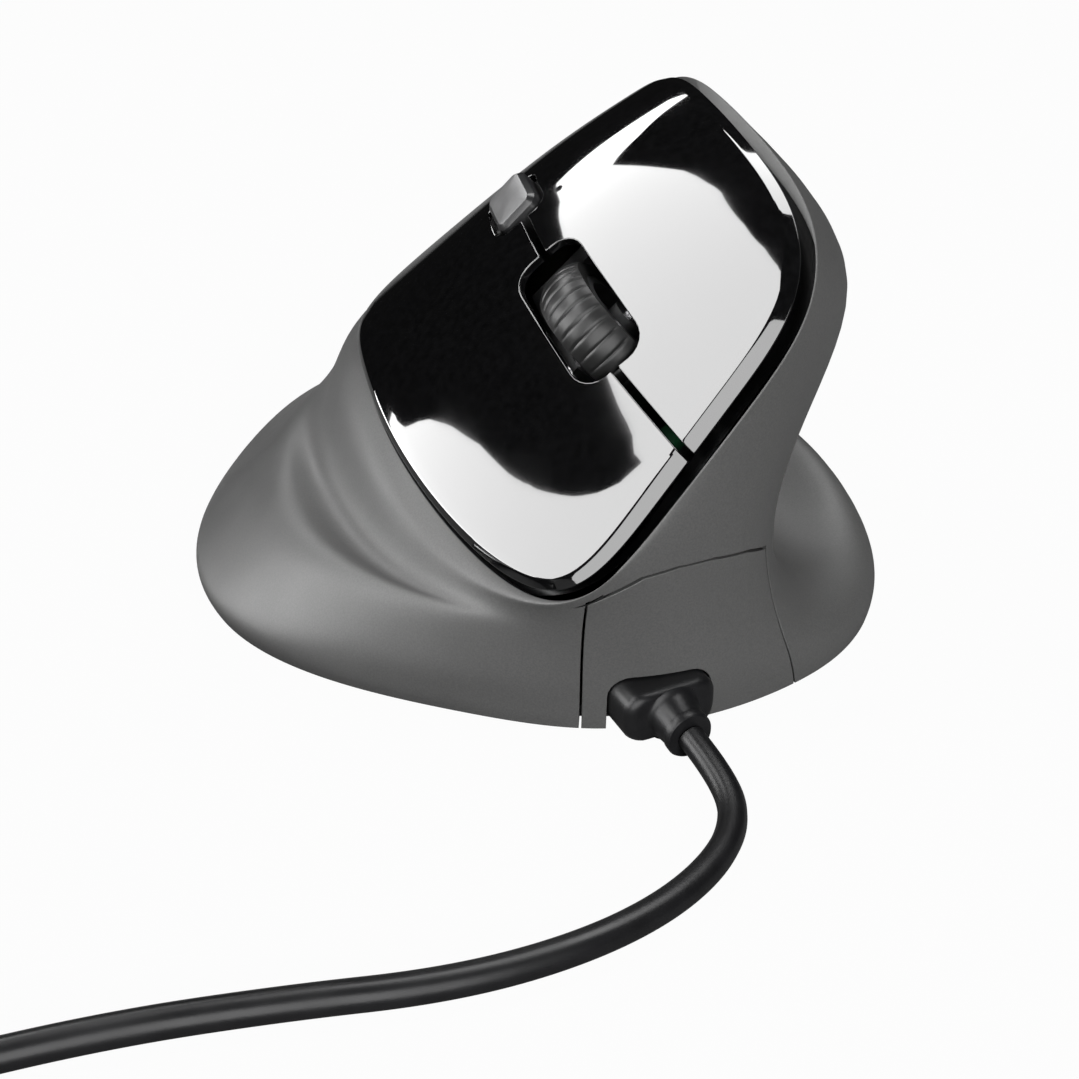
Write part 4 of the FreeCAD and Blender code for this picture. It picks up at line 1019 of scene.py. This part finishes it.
# Inset and drop of each ring, from the hidden foot up; the grey face starts at the fifth, and the faces below
# it take a near-black material, painted shade on the cap's sides.
DPI_RINGS = [(0, 5.0), (0, 0.75), (0.06, 0.66), (0.62, 0.12), (0.7, 0.05), (0.8, 0.02), (1.6, -0.1),
             (2.6, -0.16)]
DPI_FACE = 4
DPI_TOP = crown(DPI_PLACE[:1], DPI_PLACE[1:])[0] + DPI_PROUD


def dpi_cap():
    rings = []
    for inset, drop in DPI_RINGS:
        box = rounded_box(DPI_SIZE[0] - 2 * inset, DPI_SIZE[1] - 2 * inset,
                          max(DPI_CORNER - inset, DPI_LEAST_CORNER))
        s, y = turned(box, DPI_PLACE).T
        rings.append(from_plate(s, y, np.full(len(s), DPI_TOP - drop)))
    points, faces = stack(rings)
    count = len(rings[0])
    # Faces below the grey face get the near-black side material: painted shade.
    top = [int(k >= DPI_FACE * count) for k in range(len(faces) - 2)] + [0, 1]
    piece = new_piece("dpi_cap", points, faces, None, "dpi_key", "satin_grey",
                      materials=["dpi_side_painted_shade", "satin_grey"], face_materials=top, nodes=["dpi_button"])
    piece.data.set_sharp_from_angle(angle=math.radians(35))


dpi_cap()

# ---------------- wheel
WHEEL_PROUD = 3.2
WHEEL_RADIUS = 10.5
TREAD_RISE = 0.2
WHEEL_WIDTH = 7.0
WHEEL_CROWN = 1.2
WHEEL_BACK = 0.4
SHOULDER = 0.7
HUB_RADIUS = 7.5
HUB_GAP = 0.05
GROOVES = 34
GROOVE_STEPS = 12
GROOVE_DEPTH = 0.16
GROOVE_SPREAD = 0.17
wheel_level = crown(WHEEL_PLACE[:1], WHEEL_PLACE[1:])[0] + WHEEL_PROUD - WHEEL_RADIUS
AXLE = math.cos(SLANT) * ACROSS + math.sin(SLANT) * ALONG
ROLL = -math.sin(SLANT) * ACROSS + math.cos(SLANT) * ALONG
WHEEL_CENTRE = from_plate(WHEEL_PLACE[:1], WHEEL_PLACE[1:], [wheel_level])[0] + WHEEL_BACK * ROLL


def wheel_tread():
    """The rubber tread: a crowned ring with fine grooves across it."""
    half = WHEEL_WIDTH / 2
    side = [(HUB_RADIUS + HUB_GAP, half - 0.35),
            (WHEEL_RADIUS + TREAD_RISE - WHEEL_CROWN - SHOULDER, half - 0.05)]
    profile = [(radius, -across) for radius, across in side]
    for k in range(-10, 11):
        across = k / 10
        profile.append((WHEEL_RADIUS + TREAD_RISE - WHEEL_CROWN * abs(across) ** 2.2, half * across * 0.985))
    profile += side[::-1]
    steps = GROOVES * GROOVE_STEPS
    rings = []
    for k in range(steps):
        angle = 2 * math.pi * k / steps
        away = (k % GROOVE_STEPS / GROOVE_STEPS - 0.5) * 2 * math.pi * WHEEL_RADIUS / GROOVES
        dip = GROOVE_DEPTH * math.exp(-(away / GROOVE_SPREAD) ** 2)
        ring = []
        for radius, across in profile:
            deep = dip * min(1, max(0, (half * 0.93 - abs(across)) / 0.5)) if radius > HUB_RADIUS + 1 else 0
            turn = math.cos(angle) * ROLL + math.sin(angle) * OUT
            ring.append(WHEEL_CENTRE + AXLE * across + turn * (radius - deep))
        rings.append(ring)
    points, faces = closed_stack(rings)
    piece = new_piece("wheel_tread", points, faces, None, "wheel", "wheel_rubber", nodes=["wheel_tyre"])
    piece.data.set_sharp_from_angle(angle=math.radians(50))


wheel_tread()

# ---------------- cord boot
BOOT_BACK = -51.2
BOOT_FACE = -61.4
BOOT_COUNT = 64
BOOT_WIDTH = NOTCH_WIDTH - 0.5
BOOT_TOP = NOTCH_HEIGHT - 0.25
BOOT_FLOOR = 1.0
BOOT_CORNER = 2.6
BOOT_HALF = 6.4
# How far behind the block's face each section lies, and how much smaller it is.
BOOT_BLOCK = [(1.3, 0), (0.75, 0.2), (0.35, 0.5), (0.1, 0.95), (0, 1.5)]
# Place, radius and share of the way to the cord's exit of each section of the cone and collar.
BOOT_CONE = [(-61.42, 3.9, 0.1), (-61.6, 3.6, 0.15), (-62.2, 3.35, 0.3), (-64.2, 3.0, 0.75),
             (-64.4, 2.98, 0.8), (-64.5, 3.15, 0.82), (-65.3, 3.15, 0.95), (-65.6, 2.95, 1),
             (-65.65, 1.8, 1)]


def boot():
    """The moulded block in the notch, and the short cone and collar where the cord leaves it."""
    turns = np.linspace(0, 2 * math.pi, BOOT_COUNT, endpoint=False)
    block = stepped(rounded_box(BOOT_WIDTH, BOOT_TOP - BOOT_FLOOR, BOOT_CORNER, 8), 0.1)
    angles = np.arctan2(block[:, 1], block[:, 0])
    order = np.argsort(angles)
    reach = np.interp(np.mod(turns + math.pi, 2 * math.pi) - math.pi, angles[order],
                      np.linalg.norm(block, axis=1)[order], period=2 * math.pi)
    circle = np.stack([np.cos(turns), np.sin(turns)], -1)
    square = circle * reach[:, None]
    middle = np.array([NOTCH_X, (BOOT_TOP + BOOT_FLOOR) / 2])
    tip = np.array([BOOT_EXIT[0], BOOT_EXIT[2]])
    sections = [(BOOT_BACK, square, middle)]
    for behind, shrink in BOOT_BLOCK:
        sections.append((BOOT_FACE + behind, square * (1 - shrink / BOOT_HALF), middle))
    sections += [(y, circle * radius, middle + (tip - middle) * share) for y, radius, share in BOOT_CONE]
    rings = []
    for y, flat, centre in sections:
        place = flat + centre
        rings.append(np.stack([place[:, 0], np.full(BOOT_COUNT, y), place[:, 1]], -1))
    points, faces = stack(rings)
    piece = new_piece("cord_boot", points, faces, None, "casing", "cord_black", nodes=["strain_relief"])
    piece.data.set_sharp_from_angle(angle=math.radians(40))


boot()

# ---------------- nodes that keep their CAD shape
FINISHES = {
    "black_plastic": "wheel_hub wheel_cradle base_plate board_stand",
    "steel": "wheel_axle base_screws board_screws",
    "glide": "glide_feet",
    "circuit_board": "button_board side_board main_board",
    "chip_black": "optical_sensor controller_chip",
    "switch_case": "left_switch right_switch middle_switch dpi_switch forward_switch back_switch "
                   "wheel_encoder",
    "clear_lens": "sensor_lens",
    "connector_white": "cord_connector",
    "ribbon_grey": "ribbon_cable",
    "cord_black": "wire_lead cord_tie plug_grip",
    "plug_steel": "plug_shell",
    "plug_tongue": "plug_contacts",
}
for finish, names in FINISHES.items():
    for name in names.split():
        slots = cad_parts[name].data.materials
        slots.clear()
        slots.append(MATERIALS[finish])

# ---------------- floor, surroundings and lights
AIM = Vector(metres([-3, -24, 46]))
# The sky's level in reflections, as a fill light and as the camera sees it.
SKY = (0.006, 0.06, 1.0)
FLOOR_CORNERS = [(-4, -4), (4, -4), (4, 4), (-4, 4)]
FLOOR_LEVEL = -0.0002
# How much of the floor is plain white where the camera sees it.
FLOOR_VEIL = 0.97


def bare_tree(owner):
    owner.use_nodes = True
    owner.node_tree.nodes.clear()
    return owner.node_tree


def pick(tree, ray, chosen, other):
    path = add_node(tree, "LightPath")
    mix = add_node(tree, "MixShader")
    tree.links.new(path.outputs[ray], mix.inputs["Fac"])
    tree.links.new(other, mix.inputs[1])
    tree.links.new(chosen, mix.inputs[2])
    return mix.outputs["Shader"]


def glow(tree, kind, level, strength=1.0):
    node = add_node(tree, kind)
    put(node, "Color", (*grey(level), 1))
    put(node, "Strength", strength)
    return node.outputs[0]


def finish_tree(tree, kind, shader):
    tree.links.new(shader, add_node(tree, kind).inputs["Surface"])


scene.world = bpy.data.worlds.new("studio")
tree = bare_tree(scene.world)
reflected, fill, seen = [glow(tree, "Background", level) for level in SKY]
indirect = pick(tree, "Is Glossy Ray", reflected, fill)
finish_tree(tree, "OutputWorld", pick(tree, "Is Camera Ray", seen, indirect))

floor_mesh = bpy.data.meshes.new("floor")
floor_mesh.from_pydata([(x, y, FLOOR_LEVEL) for x, y in FLOOR_CORNERS], [], [[0, 1, 2, 3]])
floor = new_object("floor", floor_mesh)
floor_material = bpy.data.materials.new("floor")
tree = bare_tree(floor_material)
pale = add_node(tree, "BsdfDiffuse")
tint(tree, pale, add_noise(tree, 8), grey(0.13), grey(0.15), "Color")
veil = add_node(tree, "MixShader")
put(veil, "Fac", FLOOR_VEIL)
tree.links.new(pale.outputs[0], veil.inputs[1])
tree.links.new(glow(tree, "Emission", 1.0), veil.inputs[2])
finish_tree(tree, "OutputMaterial", pick(tree, "Is Camera Ray", veil.outputs[0], pale.outputs[0]))
floor_mesh.materials.append(floor_material)

CARD_DISTANCE = 0.9
CARD_COLUMNS = 40
CARD_ROWS = 12


def card(name, lower, upper, level):
    """A glowing card on a sphere round the mouse, seen only in reflections.

    Its lower and upper edges are runs of (azimuth from +Y towards +X, elevation) in degrees.
    """
    azimuths = np.linspace(lower[0][0], lower[-1][0], CARD_COLUMNS)
    low = np.interp(azimuths, *zip(*lower))
    high = np.interp(azimuths, *zip(*upper))
    points, faces = [], []
    for k in range(CARD_ROWS + 1):
        for azimuth, a, b in zip(np.radians(azimuths), low, high):
            elevation = math.radians(a + (b - a) * k / CARD_ROWS)
            points.append(AIM + CARD_DISTANCE * Vector((
                math.sin(azimuth) * math.cos(elevation), math.cos(azimuth) * math.cos(elevation),
                math.sin(elevation))))
    for k in range(CARD_ROWS):
        for j in range(CARD_COLUMNS - 1):
            start = k * CARD_COLUMNS + j
            faces.append([start, start + 1, start + CARD_COLUMNS + 1, start + CARD_COLUMNS])
    mesh = bpy.data.meshes.new(name)
    mesh.from_pydata([p[:] for p in points], [], faces)
    material = bpy.data.materials.new(name)
    tree = bare_tree(material)
    finish_tree(tree, "OutputMaterial", glow(tree, "Emission", 1.0, level))
    mesh.materials.append(material)
    piece = new_object(name, mesh)
    piece.visible_camera = piece.visible_diffuse = piece.visible_shadow = piece.visible_transmission = False


card("card_high",
     [(-100, 37.5), (-90, 37.2), (-85.7, 38.7), (-71, 39.8), (-41, 39.5), (-36, 38.5), (-23, 34.7),
      (-12.6, 29), (-6, 30), (6, 33)],
     [(-100, 56), (-70, 58.8), (-56.8, 58.7), (-39, 57.4), (-30, 54.4), (-25, 49.1), (-18.3, 41.1),
      (-7, 40.1), (2, 37.6), (6, 37.4)], 8.6)
card("card_low", [(-100, 3), (-45, 3)],
     [(-100, 38.5), (-91.5, 37.5), (-90.7, 35.5), (-87.8, 33.4), (-83.7, 31.4), (-76, 28.5),
      (-69.4, 26.3), (-62, 24.6), (-55.8, 21.9), (-51.3, 18.8), (-48.9, 14.4), (-45, 13)], 8.6)
card("card_top", [(0, 57), (120, 57)], [(0, 80), (120, 80)], 8)
card("card_rim", [(-90, -2), (-36, -2)], [(-90, 2.5), (-36, 3.5)], 12)
card("card_front", [(-178, -2), (-118, -2)], [(-178, 45), (-118, 45)], 5.5)


def lamp(name, place, size, power):
    """A soft lamp aimed at the mouse; the cards make its reflections instead."""
    data = bpy.data.lights.new(name, "AREA")
    data.shape = "RECTANGLE"
    data.size, data.size_y = size
    data.energy = power
    light = new_object(name, data)
    light.location = Vector(place)
    face(light, AIM - light.location)
    light.visible_glossy = False


lamp("lamp_left", (-0.75, 0.35, 1.05), (0.3, 0.4), 11)
lamp("lamp_front", (-0.05, -1.1, 0.5), (0.3, 0.3), 22)
lamp("lamp_right", (0.6, 0.15, 1.0), (0.3, 0.4), 3)
lamp("lamp_top", (0.1, 0.5, 1.0), (0.9, 0.6), 3)
